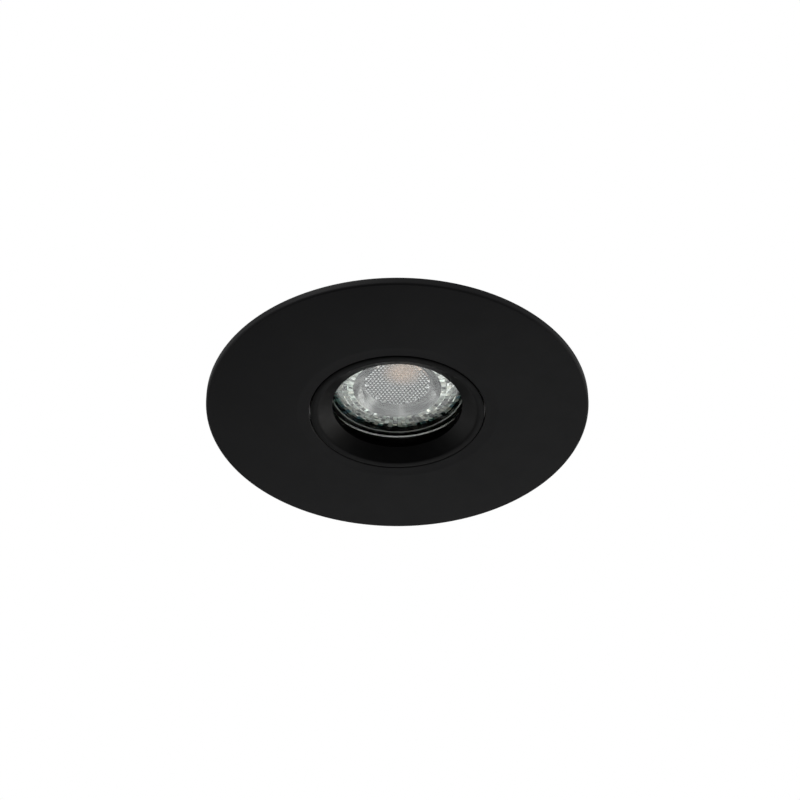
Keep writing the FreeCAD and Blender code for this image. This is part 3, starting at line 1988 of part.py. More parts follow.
def terminal_block():
    """The moulded block with three chambers for the clamping barrels."""
    body = new_body("terminal_block")
    start = block_start()
    end = start + size.block_length
    half = size.block_width / 2
    low = block_level()
    top = low + size.block_height
    outline = rounded(start, -1 * half, end, half, size.block_corner)
    pad(body, draw(new_sketch(body, "XY_Plane", low), outline), size.block_height)
    margin = (size.block_length - size.barrel_length) / 2 - size.barrel_clearance
    wide = size.barrel_width / 2 + size.barrel_clearance
    bays = new_sketch(body, "XY_Plane", top)
    mouths = new_sketch(body, "YZ_Plane", end)
    for y in pole_places():
        draw(bays, rectangle(start + margin, y - wide, end - margin, y + wide))
        draw_circle(mouths, y, wire_level(), size.terminal_bore + size.barrel_clearance)
    pocket(body, bays, top - barrel_level())
    pocket(body, mouths, size.block_length)
    return body


def barrel_level():
    """The underside of the clamping barrels, whose bores lie at the wires' level."""
    return wire_level() - size.barrel_height / 2


def terminal_barrels():
    """Three brass barrels, bored for the wires."""
    body = new_body("terminal_barrels")
    start = block_start() + (size.block_length - size.barrel_length) / 2
    end = start + size.barrel_length
    half = size.barrel_width / 2
    blocks = new_sketch(body, "XY_Plane", barrel_level())
    bores = new_sketch(body, "YZ_Plane", end)
    for y in pole_places():
        draw(blocks, rectangle(start, y - half, end, y + half))
        draw_circle(bores, y, wire_level(), size.terminal_bore)
    pad(body, blocks, size.barrel_height)
    pocket(body, bores, size.barrel_length)
    return body


def terminal_screws():
    """Six slotted screws, two on each barrel."""
    body = new_body("terminal_screws")
    seat = barrel_level() + size.barrel_height
    middle = block_start() + size.block_length / 2
    heads = new_sketch(body, "XY_Plane", seat)
    slots = new_sketch(body, "XY_Plane", seat + size.terminal_screw_height)
    reach = size.terminal_screw + size.slot_overrun
    half = size.m3_slot_width / 2
    for side in (-1, 1):
        x = middle + side * size.terminal_screw_spacing / 2
        for y in pole_places():
            draw_circle(heads, x, y, size.terminal_screw)
            draw(slots, rectangle(x - reach, y - half, x + reach, y + half))
    pad(body, heads, size.terminal_screw_height)
    pocket(body, slots, size.m3_slot_depth)
    return body


def cord_clamp():
    """The loose bar that grips the cable over the saddle."""
    body = new_body("cord_clamp")
    start = clamp_start()
    half = size.clamp_width / 2
    low = wire_level() + size.clamp_split
    bar = rounded(start, -1 * half, start + size.clamp_length, half, size.clamp_corner)
    pad(body, draw(new_sketch(body, "XY_Plane", low), bar), clamp_bar())
    arch = new_sketch(body, "YZ_Plane", start + size.clamp_length)
    draw_circle(arch, 0, wire_level(), size.clamp_arch)
    pocket(body, arch, size.clamp_length)
    screws = new_sketch(body, "XY_Plane", low + clamp_bar())
    middle = start + size.clamp_length / 2
    hole = size.m3_radius + size.m3_clearance
    draw_circle(screws, middle, size.clamp_screw_offset, hole)
    draw_circle(screws, middle, -1 * size.clamp_screw_offset, hole)
    pocket(body, screws, clamp_bar())
    return body


def clamp_screws():
    """Two screws down through the clamp's bar into the saddle."""
    body = new_body("clamp_screws")
    x = clamp_start() + size.clamp_length / 2
    seat = wire_level() + size.clamp_split + clamp_bar()
    length = clamp_bar() + size.clamp_split * 2 + size.clamp_screw_bite
    screw = pan_screw(body, x, size.clamp_screw_offset, seat, length)
    across(body, screw, "XZ_Plane")
    return body


def grommet_profile(bore, neck, flange, lip, thickness):
    """Half of a grommet: a lip, a neck in the wall and a second lip."""
    edge = size.grommet_edge
    return [
        (bore, -1 * lip),
        (flange - edge, -1 * lip),
        (flange, edge - lip),
        (flange, 0),
        (neck, 0),
        (neck, thickness),
        (flange, thickness),
        (flange, thickness + lip - edge),
        (flange - edge, thickness + lip),
        (bore, thickness + lip),
    ]


def lead_grommet():
    """The rubber bush through the can's roof and the box's floor."""
    body = new_body("lead_grommet")
    wall = size.can_wall + size.box_wall
    outline = grommet_profile(
        size.grommet_bore, size.grommet_neck, size.grommet_flange, size.grommet_lip, wall
    )
    spin(body, draw(new_sketch(body, "XZ_Plane"), outline))
    return place(body, x=-1 * grommet_offset(), z=ceiling_level())


def cable_grommet():
    """The rubber bush in the box's end wall, which the supply cable passes through."""
    body = new_body("cable_grommet")
    outline = grommet_profile(
        size.entry_bore,
        size.entry_hole,
        entry_flange(),
        size.entry_flange_thickness,
        size.box_wall,
    )
    spin(body, draw(new_sketch(body, "XZ_Plane"), outline))
    start = box_length() / 2 - size.box_wall
    return place(body, x=start, z=wire_level(), angle=90, axis=Vector(0, 1, 0))


# ---------------------------------------------------------------- leads


def rounded_path(points, largest):
    """Straight runs joined by tangent arcs, each as large as its runs allow."""
    edges = []
    start = points[0]
    for before, corner, after in zip(points, points[1:], points[2:]):
        into = (corner - before).normalize()
        out = (after - corner).normalize()
        half_turn = into.getAngle(out) / 2
        shorter = min((corner - before).Length, (after - corner).Length)
        radius = min(BEND_SHARE * shorter / math.tan(half_turn), largest)
        print("lead bend radius", round(radius, 2))
        reach = radius * math.tan(half_turn)
        first = corner - into * reach
        last = corner + out * reach
        edges.append(Part.LineSegment(start, first).toShape())
        edges.append(arc_through(first, corner, last))
        start = last
    edges.append(Part.LineSegment(start, points[-1]).toShape())
    return Part.Wire(edges)


def lead(name, points):
    """An insulated lead along its route, made whole."""
    path = rounded_path(points, float(size.lead_bend))
    way = (points[1] - points[0]).normalize()
    circle = Part.Wire(Part.Circle(points[0], way, float(size.lead_radius)).toShape())
    solid = path.makePipeShell([circle], True, False)
    volume = math.pi * float(size.lead_radius) ** 2 * path.Length
    print(name, "length", round(path.Length, 1), "volume", round(solid.Volume / volume, 4))
    item = document.addObject("Part::Feature", name)
    item.Label = name
    item.Shape = solid
    return item


def lead_end_x():
    """Where a lead ends inside its clamping barrel."""
    start = block_start() + (size.block_length - size.barrel_length) / 2
    return float(start + size.lead_insertion)


def power_lead(name, side, turn):
    """A lead from the holder up through the grommet to an outer terminal."""
    spread = float(size.pin_spacing) / 2
    high = float(wire_level())
    gather = float(ceiling_level() - size.lead_gather)
    slot = float(size.lead_ring)
    x = slot * math.sin(math.pi / 6) - float(grommet_offset())
    y = side * slot * math.cos(math.pi / 6)
    pole = side * float(size.pole_pitch)
    return lead(
        name,
        [
            Vector(side * spread, 0, float(lead_start())),
            Vector(side * spread, 0, float(holder_top() + turn)),
            Vector(x, y, gather),
            Vector(x, y, high),
            Vector(float(block_start() - size.lead_turn_in), pole, high),
            Vector(lead_end_x(), pole, high),
        ],
    )


def earth_lead():
    """A lead from the bracket's tag straight up to the middle terminal."""
    x = -float(grommet_offset() + size.lead_ring)
    low = float(earth_socket())
    high = float(wire_level())
    points = [Vector(x, 0, low), Vector(x, 0, high), Vector(lead_end_x(), 0, high)]
    return lead("earth_lead", points)


def earth_socket():
    """The bottom of the earth tag's barrel, where its lead ends."""
    return holder_top() + size.bracket_thickness + size.tag_thickness + size.tag_socket


def earth_tag():
    """A ring tag on the bracket, bent up to a barrel that holds the earth lead."""
    body = new_body("earth_tag")
    low = holder_top() + size.bracket_thickness
    x = -1 * earth_screw_x()
    end = -1 * (grommet_offset() + size.lead_ring)
    ring_sketch = draw_circle(new_sketch(body, "XY_Plane", low), x, 0, size.tag_ring)
    pad(body, ring_sketch, size.tag_thickness)
    half = size.tag_width / 2
    strip = rectangle(x, -1 * half, end, half)
    pad(body, draw(new_sketch(body, "XY_Plane", low), strip), size.tag_thickness)
    hole = size.m3_radius + size.m3_clearance
    bore = draw_circle(new_sketch(body, "XY_Plane", low + size.tag_thickness), x, 0, hole)
    pocket(body, bore, size.tag_thickness)
    barrel = draw_circle(new_sketch(body, "XY_Plane", low), end, 0, size.tag_barrel)
    pad(body, barrel, size.tag_barrel_height)
    socket = new_sketch(body, "XY_Plane", low + size.tag_barrel_height)
    draw_circle(socket, end, 0, size.lead_radius + size.tag_clearance)
    pocket(body, socket, low + size.tag_barrel_height - earth_socket())
    return body


def earth_screw():
    """The screw that holds the earth tag on the bracket."""
    body = new_body("earth_screw")
    grip = size.tag_thickness + size.bracket_thickness
    seat = holder_top() + grip
    length = grip + size.m3_nut_height + size.screw_tail
    pan_screw(body, -1 * earth_screw_x(), 0, seat, length)
    return body


def earth_nut():
    """The nut of the earth screw, under the bracket."""
    body = new_body("earth_nut")
    nut(body, -1 * earth_screw_x(), 0, holder_top())
    return body


# ---------------------------------------------------------------- the whole light


def both_sides(make, stem):
    """A piece that the light has on its left and on its right."""
    return [make(stem + "_right", 1), make(stem + "_left", -1)]


def build():
    parts = [
        trim_plate(),
        soffit_gasket(),
        lock_collar(),
        flange_gasket(),
        lamp_can(),
        flange_screws(),
        bracket_rivets(),
        bezel_ring(),
        glass_gasket(),
        glass_cover(),
        glass_clip(),
        bezel_seal(),
        lamp_shell(),
        lamp_lens(),
        lamp_board(),
        lamp_base(),
        lamp_pins(),
        lamp_driver(),
        lampholder(),
        holder_contacts(),
        holder_bracket(),
        holder_screws(),
        roof_screws(),
        roof_nuts(),
        lead_grommet(),
        earth_tag(),
        earth_screw(),
        earth_nut(),
        terminal_base(),
        terminal_block(),
        terminal_barrels(),
        terminal_screws(),
        cord_clamp(),
        clamp_screws(),
        cable_grommet(),
        box_screws(),
        terminal_lid(),
        lid_pin(),
    ]
    parts += both_sides(clip_bracket, "clip_bracket")
    parts += both_sides(pivot_pin, "pivot_pin")
    parts += both_sides(spring_arm, "spring_arm")
    parts += both_sides(arm_pad, "arm_pad")
    parts += both_sides(clip_spring, "clip_spring")
    parts.append(power_lead("live_lead", 1, size.live_turn))
    parts.append(power_lead("neutral_lead", -1, size.neutral_turn))
    parts.append(earth_lead())
    return parts


def check_features():
    """Stop if any object of the document failed to compute."""
    for item in document.Objects:
        for state in ("Invalid", "Error"):
            if state in item.State:
                raise RuntimeError(item.Name + " of " + item.Label + " is " + state)


def export(parts):
    """Write each sub-part to its own file after checking its shape."""
    os.makedirs("parts", exist_ok=True)
    for part in parts:
        shape = part.Shape
        if shape.isNull() or not shape.isValid():
            raise RuntimeError(part.Label + " has no valid shape")
    for part in parts:
        part.Shape.exportStep("parts/" + part.Label + ".step")
        print(part.Label, len(part.Shape.Solids), round(part.Shape.Volume, 1))


made_parts = build()
document.recompute()
check_features()
export(made_parts)
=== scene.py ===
"""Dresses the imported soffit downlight: turned and moulded pieces, finishes, light and camera."""

from __future__ import annotations

import logging
import math
import random
from collections.abc import Callable
from dataclasses import dataclass, field
from enum import Enum

import bmesh
import bpy
from bmesh.types import BMesh, BMVert
from bpy.types import NodeSocket
from mathutils import Matrix, Vector

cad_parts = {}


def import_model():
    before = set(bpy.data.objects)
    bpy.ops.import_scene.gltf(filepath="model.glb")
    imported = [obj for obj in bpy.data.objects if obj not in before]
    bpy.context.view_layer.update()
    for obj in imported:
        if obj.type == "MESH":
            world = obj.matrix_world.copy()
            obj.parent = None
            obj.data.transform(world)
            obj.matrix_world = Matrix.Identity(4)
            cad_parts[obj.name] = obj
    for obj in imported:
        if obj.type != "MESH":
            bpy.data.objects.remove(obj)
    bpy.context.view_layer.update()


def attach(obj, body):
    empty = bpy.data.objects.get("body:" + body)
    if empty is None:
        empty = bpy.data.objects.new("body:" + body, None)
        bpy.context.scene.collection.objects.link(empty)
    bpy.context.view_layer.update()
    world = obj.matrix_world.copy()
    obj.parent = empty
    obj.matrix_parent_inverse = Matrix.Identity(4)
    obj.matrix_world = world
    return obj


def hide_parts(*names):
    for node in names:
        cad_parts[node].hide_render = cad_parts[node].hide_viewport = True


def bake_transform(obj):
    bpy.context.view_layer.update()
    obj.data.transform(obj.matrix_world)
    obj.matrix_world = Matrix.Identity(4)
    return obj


log = logging.getLogger("downlight")

MM = 0.001
FULL = 2 * math.pi
# name of the corner colours that hold painted reflections, highlights and shade on the lamp's glass and lens
PAINTED_LIGHT_LAYER = "tone"
FINE = 192
COARSE = 64
BROAD = 256
CREASE = math.radians(32)
SEAM = 1e-6
HAIR = 1e-7
BAND = (0.3, 0.7)
WAVES = 20
WHITE = (1, 1, 1)
ORIGIN = (0, 0, 0)

Three = tuple[float, float, float]
Colour = Three
Profile = list[tuple[float, float]]
Value = float | bool | str | Colour | NodeSocket


# ---------------------------------------------------------------- finishes


class Grain(Enum):
    """How a finish's surface is worked."""

    CAST = "cast"
    MOULDED = "moulded"
    DRAWN = "drawn"
    SPANGLED = "spangled"
    TURNED = "turned"
    CELLS = "cells"


class Nodes:
    """A node tree while it is being put together."""

    def __init__(self, tree: bpy.types.NodeTree) -> None:
        """Take over a node tree."""
        self.tree = tree

    def fill(self, node: bpy.types.Node, values: dict[str, Value]) -> None:
        """Set or join a node's inputs.

        Args:
            node: the node.
            values: what goes into each input, by its name with underscores for spaces.
        """
        for name, value in values.items():
            socket = node.inputs[name.replace("_", " ")]
            if isinstance(value, NodeSocket):
                self.tree.links.new(value, socket)
            else:
                socket.default_value = (*value, 1.0) if socket.type == "RGBA" else value

    def add(self, kind: str, *sources: NodeSocket, **values: Value) -> bpy.types.Node:
        """Add a node.

        Args:
            kind: the node's type without its prefix.
            sources: the sockets that are joined to its first inputs.
            values: its properties, and its inputs, whose names start with a capital.

        Returns:
            The node.
        """
        node = self.tree.nodes.new("ShaderNode" + kind)
        for name, value in values.items():
            if name[0].islower():
                setattr(node, name, value)
        for source, socket in zip(sources, node.inputs):
            self.tree.links.new(source, socket)
        self.fill(node, {name: value for name, value in values.items() if name[0].isupper()})
        return node


class Shader(Nodes):
    """One procedural material while it is being put together."""

    def __init__(self, name: str, **sockets: Value) -> None:
        """Start a material.

        Args:
            name: the material's name.
            sockets: the constant values on the shader's own inputs.
        """
        self.material = bpy.data.materials.new(name)
        self.material.use_nodes = True
        super().__init__(self.material.node_tree)
        self.surface = self.tree.nodes["Principled BSDF"]
        self.fill(self.surface, sockets)
        self.place = self.add("TexCoord").outputs["Object"]

    def noise(self, size: float, detail: float = 3.0, stretch: Three = (1, 1, 1)) -> NodeSocket:
        """A noise whose features are about a size in millimetres.

        Args:
            size: the features' size in millimetres.
            detail: how many finer layers it has.
            stretch: the scale along x, y and z.

        Returns:
            The noise, from 0 to 1.
        """
        place = self.add("Mapping", self.place, Scale=stretch).outputs["Vector"]
        return self.add("TexNoise", place, Scale=1 / (size * MM), Detail=detail).outputs[0]

    def cells(self, size: float, smooth: bool = False) -> NodeSocket:
        """A pattern of cells: their distances from their middles if smooth, or else their shades."""
        return self.add("TexVoronoi", self.place, Scale=1 / (size * MM)).outputs["Distance" if smooth else "Color"]

    def rings(self, size: float) -> NodeSocket:
        """Turning marks about the Z axis, a size in millimetres apart."""
        look = {"Scale": 1 / (size * MM) / WAVES, "Distortion": 0.6, "Detail": 2.0}
        return self.add("TexWave", self.place, wave_type="RINGS", rings_direction="Z", **look).outputs["Fac"]

    def between(self, source: NodeSocket, low: float, high: float) -> NodeSocket:
        """A value carried from the range around a half to another range."""
        ends = {"From_Min": BAND[0], "From_Max": BAND[1], "To_Min": low, "To_Max": high}
        return self.add("MapRange", source, **ends).outputs["Result"]

    def paint(self, source: NodeSocket, first: Colour, second: Colour, tone: bool = False) -> None:
        """Vary the base colour between two colours.

        Args:
            source: the pattern that chooses between them.
            first: the colour at its low end.
            second: the colour at its high end.
            tone: whether the piece's painted reflections, highlights and shade, held in its corner colours, multiply
                the colour.
        """
        ramp = self.add("ValToRGB", source)
        for index, colour in enumerate((first, second)):
            ramp.color_ramp.elements[index].position = BAND[index]
            ramp.color_ramp.elements[index].color = (*colour, 1)
        colour = ramp.outputs["Color"]
        # the corner colours hold painted reflections, highlights and shade, and lighten or darken the base colour
        if tone:
            own = self.add("VertexColor", layer_name=PAINTED_LIGHT_LAYER).outputs["Color"]
            colour = self.add("VectorMath", colour, own, operation="MULTIPLY").outputs[0]
        self.fill(self.surface, {"Base_Color": colour})

    def bump(self, source: NodeSocket, height: float, strength: float) -> None:
        """Raise the surface by a pattern.

        Args:
            source: the pattern.
            height: its height in millimetres.
            strength: how much of it shows.
        """
        earlier = self.surface.inputs["Normal"].links
        under = {"Normal": earlier[0].from_socket} if earlier else {}
        node = self.add("Bump", Distance=height * MM, Strength=strength, Height=source, **under)
        self.fill(self.surface, {"Normal": node.outputs["Normal"]})


@dataclass(frozen=True)
class Dressing:
    """What every finish has: a slot's name, and a material that is made once."""

    slot: str

    def material(self) -> bpy.types.Material:
        """The finish's material, made when it is first asked for."""
        name = self.slot + "_finish"
        return bpy.data.materials.get(name) or self.build(name).material

    def build(self, name: str) -> Shader:
        """Put the material together."""
        raise NotImplementedError(name)


@dataclass(frozen=True)
class Finish(Dressing):
    """An opaque finish: two close colours, a roughness range and a grain."""

    colour: Colour
    other: Colour
    metallic: float
    roughness: tuple[float, float]
    grain: Grain
    size: float
    height: float
    mottle: float = 12.0
    specular: float = 0.5
    sheen: float = 0.0
    # whether painted reflections, highlights and shade from the piece's corner colours multiply its colour
    shows_painted_light: bool = False

    def build(self, name: str) -> Shader:
        """Put the material together.

        Args:
            name: the material's name.

        Returns:
            The shader.
        """
        own = {"Metallic": self.metallic, "Specular_IOR_Level": self.specular, "Sheen_Weight": self.sheen}
        shader = Shader(name, **own)
        pattern = shader.cells(self.mottle) if self.grain is Grain.SPANGLED else shader.noise(self.mottle)
        shader.paint(pattern, self.colour, self.other, self.shows_painted_light)
        rough = shader.between(shader.noise(self.mottle / 4, 4.0), *self.roughness)
        shader.fill(shader.surface, {"Roughness": rough})
        self.work(shader)
        return shader

    def work(self, shader: Shader) -> None:
        """Give the surface its grain.

        Args:
            shader: the material's shader.
        """
        size, height = self.size, self.height
        if self.grain in (Grain.CAST, Grain.MOULDED):
            shader.bump(shader.noise(size, 4.0), height, 0.6)
        if self.grain is Grain.CAST:
            shader.bump(shader.cells(size * 3, True), height, 0.3)
        if self.grain is Grain.DRAWN:
            shader.bump(shader.noise(size, 2.0, (1, 1, 0.04)), height, 0.5)
        if self.grain is Grain.SPANGLED:
            shader.bump(shader.noise(size, 3.0), height, 0.4)
        if self.grain is Grain.TURNED:
            shader.bump(shader.rings(size), height, 0.4)
            shader.bump(shader.noise(size, 3.0), height, 0.3)
        if self.grain is Grain.CELLS:
            shader.bump(shader.cells(size, True), height, 0.8)


@dataclass(frozen=True)
class Glass(Dressing):
    """A clear finish that light passes through, with a faint smear."""

    colour: Colour
    smear: float

    def build(self, name: str) -> Shader:
        """Put the material together.

        Args:
            name: the material's name.

        Returns:
            The shader.
        """
        shader = Shader(name, Base_Color=self.colour, Transmission_Weight=1.0, IOR=1.5)
        shader.fill(shader.surface, {"Roughness": shader.between(shader.noise(6.0), 0.0, self.smear)})
        shader.bump(shader.noise(18.0), 0.02, 0.1)
        return shader


@dataclass(frozen=True)
class Sleeve(Dressing):
    """A lead's silicone sleeve, plain or with a stripe along it."""

    colour: Colour
    stripe: Colour | None = None

    def build(self, name: str) -> Shader:
        """Put the material together.

        Args:
            name: the material's name.

        Returns:
            The shader.
        """
        shader = Shader(name, Roughness=0.45, Sheen_Weight=0.1)
        if self.stripe is None:
            shader.paint(shader.noise(2.0), self.colour, tuple(0.8 * part for part in self.colour))
        else:
            split = shader.add("TexWave", shader.place, wave_type="BANDS", bands_direction="Y", Scale=60.0)
            shader.paint(split.outputs["Fac"], self.colour, self.stripe)
        shader.bump(shader.noise(0.3, 3.0), 0.02, 0.4)
        return shader


BLACK_COAT = Finish(
    "black_coat", (0.0148, 0.0148, 0.0156), (0.0184, 0.0184, 0.0192), 0.0, (0.42, 0.5), Grain.CAST, 0.16,
    0.012, 30.0, 0.11,
)
BLACK_DISH = Finish(
    "black_dish", (0.006, 0.006, 0.0062), (0.008, 0.008, 0.0082), 0.0, (0.34, 0.44), Grain.CAST, 0.14,
    0.01, 16.0, 0.11,
)
# near-black painted shade: the bezel's throat and the cover glass's edge are painted darker than their own material,
# where shade falls
PAINTED_SHADE = Finish(
    "painted_shade", (0.001, 0.001, 0.001), (0.0016, 0.0016, 0.0016), 0.0, (0.7, 0.8), Grain.CAST, 0.2,
    0.02, 9.0, 0.03,
)
CAST_METAL = Finish("cast_metal", (0.5, 0.5, 0.49), (0.62, 0.62, 0.61), 1.0, (0.42, 0.6), Grain.CAST, 0.5, 0.05)
ZINC = Finish("can_zinc", (0.57, 0.58, 0.59), (0.63, 0.64, 0.655), 1.0, (0.3, 0.4), Grain.SPANGLED, 0.4, 0.012, 2.6)
STEEL = Finish("steel", (0.55, 0.55, 0.56), (0.66, 0.66, 0.66), 1.0, (0.22, 0.36), Grain.TURNED, 0.2, 0.01, 3.0)
SPRING_STEEL = Finish(
    "spring_steel", (0.36, 0.36, 0.37), (0.5, 0.5, 0.51), 1.0, (0.22, 0.34), Grain.MOULDED, 0.2, 0.006, 3.0
)
STAINLESS = Finish("stainless", (0.6, 0.6, 0.59), (0.72, 0.72, 0.71), 1.0, (0.14, 0.24), Grain.MOULDED, 0.3, 0.004, 4.0)
FOAM = Finish("foam", (0.03, 0.03, 0.031), (0.05, 0.05, 0.052), 0.0, (0.8, 0.95), Grain.CELLS, 0.5, 0.25, 4.0, 0.3, 0.1)
BLACK_RUBBER = Finish(
    "black_rubber", (0.016, 0.016, 0.016), (0.024, 0.024, 0.024), 0.0, (0.5, 0.68), Grain.MOULDED, 0.3,
    0.02, 5.0, 0.4, 0.05,
)
SILICONE = Finish("silicone", (0.7, 0.7, 0.68), (0.8, 0.8, 0.78), 0.0, (0.3, 0.42), Grain.MOULDED, 0.5, 0.02, 6.0)
# the lamp's glass: its colour is multiplied by painted facet reflections, a painted highlight and painted shade
MIRROR_GLASS = Finish(
    "lamp_glass", (0.88, 0.92, 0.88), (0.98, 1.0, 0.95), 0.45, (0.05, 0.12), Grain.MOULDED, 1.2, 0.02, 3.0, shows_painted_light=True
)
# the lens: its colour is multiplied by painted highlights, reflections and shade on its domes and funnel
LENS = Finish(
    "lens", (0.88, 0.88, 0.87), (1.0, 0.99, 0.97), 0.5, (0.12, 0.2), Grain.MOULDED, 0.8, 0.006, 4.0, shows_painted_light=True
)
RIM_GLASS = Finish(
    "lamp_glass_rim", (0.2, 0.4, 0.38), (0.5, 0.66, 0.62), 0.6, (0.06, 0.14), Grain.MOULDED, 1.0, 0.01, 2.5
)
BOARD = Finish("board", (0.82, 0.82, 0.8), (0.9, 0.9, 0.88), 0.0, (0.35, 0.5), Grain.MOULDED, 0.4, 0.01)
DRIVER = Finish("driver", (0.06, 0.26, 0.12), (0.1, 0.34, 0.17), 0.0, (0.3, 0.45), Grain.MOULDED, 0.4, 0.02)
LAMP_BASE = Finish("lamp_base", (0.82, 0.82, 0.79), (0.88, 0.88, 0.86), 0.0, (0.35, 0.5), Grain.MOULDED, 0.4, 0.02)
NICKEL = Finish("nickel", (0.66, 0.65, 0.62), (0.76, 0.75, 0.73), 1.0, (0.14, 0.24), Grain.TURNED, 0.2, 0.006, 3.0)
CERAMIC = Finish("ceramic", (0.8, 0.78, 0.72), (0.86, 0.84, 0.79), 0.0, (0.5, 0.66), Grain.CAST, 0.3, 0.02)
BRASS = Finish("brass", (0.66, 0.48, 0.2), (0.76, 0.6, 0.3), 1.0, (0.2, 0.34), Grain.DRAWN, 0.2, 0.01, 4.0)
TIN = Finish("tin", (0.64, 0.64, 0.62), (0.74, 0.74, 0.72), 1.0, (0.24, 0.38), Grain.MOULDED, 0.3, 0.01, 4.0)
BOX_PLASTIC = Finish(
    "box_plastic", (0.03, 0.03, 0.031), (0.04, 0.04, 0.041), 0.0, (0.38, 0.52), Grain.MOULDED, 0.25, 0.03, 14.0
)
BLOCK_PLASTIC = Finish(
    "block_plastic", (0.8, 0.8, 0.76), (0.86, 0.86, 0.83), 0.0, (0.35, 0.5), Grain.MOULDED, 0.3, 0.015, 6.0
)
CLEAR_GLASS = Glass("clear_glass", (0.965, 0.985, 0.98), 0.015)
LIVE = Sleeve("live_sleeve", (0.28, 0.12, 0.05))
NEUTRAL = Sleeve("neutral_sleeve", (0.06, 0.17, 0.46))
EARTH = Sleeve("earth_sleeve", (0.12, 0.42, 0.08), (0.75, 0.62, 0.05))


# ---------------------------------------------------------------- making pieces


def chain(bm: BMesh, profile: Profile, closed: bool) -> list:
    """Lay a profile in the XZ plane.

    Args:
        bm: the mesh that takes it.
        profile: its points as radius and height in millimetres.
        closed: whether the last point joins the first.

    Returns:
        The vertices and edges.
    """
    points = [bm.verts.new((r * MM, 0, z * MM)) for r, z in profile]
    follow = points[1:] + points[:1] if closed else points[1:]
    return points + [bm.edges.new(pair) for pair in zip(points, follow)]


def settled(bm: BMesh) -> None:
    """Put a mesh's edges and faces in the order of their vertices, which is the same on each run.

    Args:
        bm: the mesh.
    """
    bm.verts.index_update()
    for group in (bm.edges, bm.faces):
        keys = {item: sorted(vert.index for vert in item.verts) for item in group}
        ranks = {item: rank for rank, item in enumerate(sorted(keys, key=keys.get))}
        group.sort(key=ranks.get)


def spun(bm: BMesh, geometry: list, steps: int) -> None:
    """Spin a profile a full turn about the Z axis and close its seam.

    Args:
        bm: the mesh.
        geometry: the profile's vertices and edges.
        steps: how many steps the turn has.
    """
    bmesh.ops.spin(
        bm, geom=geometry, cent=ORIGIN, axis=(0, 0, 1), dvec=ORIGIN, angle=FULL, steps=steps, use_merge=True
    )


def rolled(bm: BMesh, angle: float, axis: str, verts: list | None = None) -> None:
    """Turn a mesh, or some of its vertices, about an axis through the origin by degrees."""
    matrix = Matrix.Rotation(math.radians(angle), 3, axis)
    bmesh.ops.rotate(bm, verts=verts or bm.verts, cent=ORIGIN, matrix=matrix)


def moved(bm: BMesh, move: Three, verts: list | None = None) -> None:
    """Move a mesh, or some of its vertices, by millimetres."""
    bmesh.ops.translate(bm, vec=[part * MM for part in move], verts=verts or bm.verts)


def block(bm: BMesh, size: Three, middle: Three = ORIGIN) -> list:
    """Add a box.

    Args:
        bm: the mesh that takes it.
        size: its length, width and height in millimetres.
        middle: its middle in millimetres.

    Returns:
        Its vertices.
    """
    made = bmesh.ops.create_cube(bm, size=1.0)["verts"]
    bmesh.ops.scale(bm, vec=[part * MM for part in size], verts=made)
    moved(bm, middle, made)
    return made


def closed_up(bm: BMesh, seam: float = SEAM) -> None:
    """Close a mesh's seams, turn its faces outwards and settle their order.

    Args:
        bm: the mesh.
        seam: how far apart two vertices may be that become one, in metres.
    """
    bmesh.ops.remove_doubles(bm, verts=bm.verts, dist=seam)
    bmesh.ops.recalc_face_normals(bm, faces=bm.faces)
    settled(bm)


def marked(bm: BMesh, chosen: Callable[[float, float], bool]) -> None:
    """Give the second finish to the faces that a test of radius and height chooses.

    Args:
        bm: the mesh.
        chosen: the test, of the radius and height of a face's middle in millimetres.
    """
    for face in bm.faces:
        middle = face.calc_center_median() / MM
        if chosen(math.hypot(middle.x, middle.y), middle.z):
            face.material_index = 1


def merge(bm: BMesh, extra: BMesh, move: Three) -> None:
    """Move a mesh and add it to another.

    Args:
        bm: the mesh that takes it.
        extra: the mesh to add, which is freed.
        move: how far it moves, in millimetres.
    """
    moved(extra, move)
    spare = bpy.data.meshes.new("spare")
    extra.to_mesh(spare)
    extra.free()
    bm.from_mesh(spare)
    bpy.data.meshes.remove(spare)


def swept(bm: BMesh, profile: Profile, start: float, angle: float, rise: float, steps: int) -> None:
    """Carry a closed profile part of a turn about the Z axis, up a screw line if it rises.

    Args:
        bm: the mesh that takes it.
        profile: its points as radius and height in millimetres.
        start: where it starts, in degrees.
        angle: how far it goes, in degrees.
        rise: how far it climbs, in millimetres.
        steps: in how many steps.
    """
    points = [bm.verts.new((r * MM, 0, z * MM)) for r, z in profile]
    face = bm.faces.new(points)
    rolled(bm, start, "Z", points)
    bmesh.ops.spin(
        bm,
        geom=[face, *face.edges, *face.verts],
        cent=ORIGIN,
        axis=(0, 0, 1),
        dvec=(0, 0, rise * MM / steps),
        angle=math.radians(angle),
        steps=steps,
    )


def soften(bm: BMesh, width: float, segments: int = 2, angle: float = 40.0) -> None:
    """Round a mesh's sharp edges.

    Args:
        bm: the mesh.
        width: the round's width in millimetres.
        segments: how many steps the round has.
        angle: the least turn between two faces that counts as sharp, in degrees.
    """
    least = math.radians(angle)
    sharp = [e for e in bm.edges if len(e.link_faces) == 2 and e.calc_face_angle(0) > least]
    if sharp:
        bmesh.ops.bevel(
            bm,
            geom=sharp,
            offset=width * MM,
            offset_type="OFFSET",
            segments=segments,
            profile=0.5,
            affect="EDGES",
            clamp_overlap=True,
            material=-1,
        )


def turned(profile: Profile, steps: int = FINE, closed: bool = True) -> BMesh:
    """A mesh turned from a profile.

    Args:
        profile: its points as radius and height in millimetres.
        steps: how many steps the turn has.
        closed: whether the profile is a ring's, and not one that ends on the axis.

    Returns:
        The mesh.
    """
    bm = bmesh.new()
    spun(bm, chain(bm, profile, closed), steps)
    closed_up(bm)
    return bm


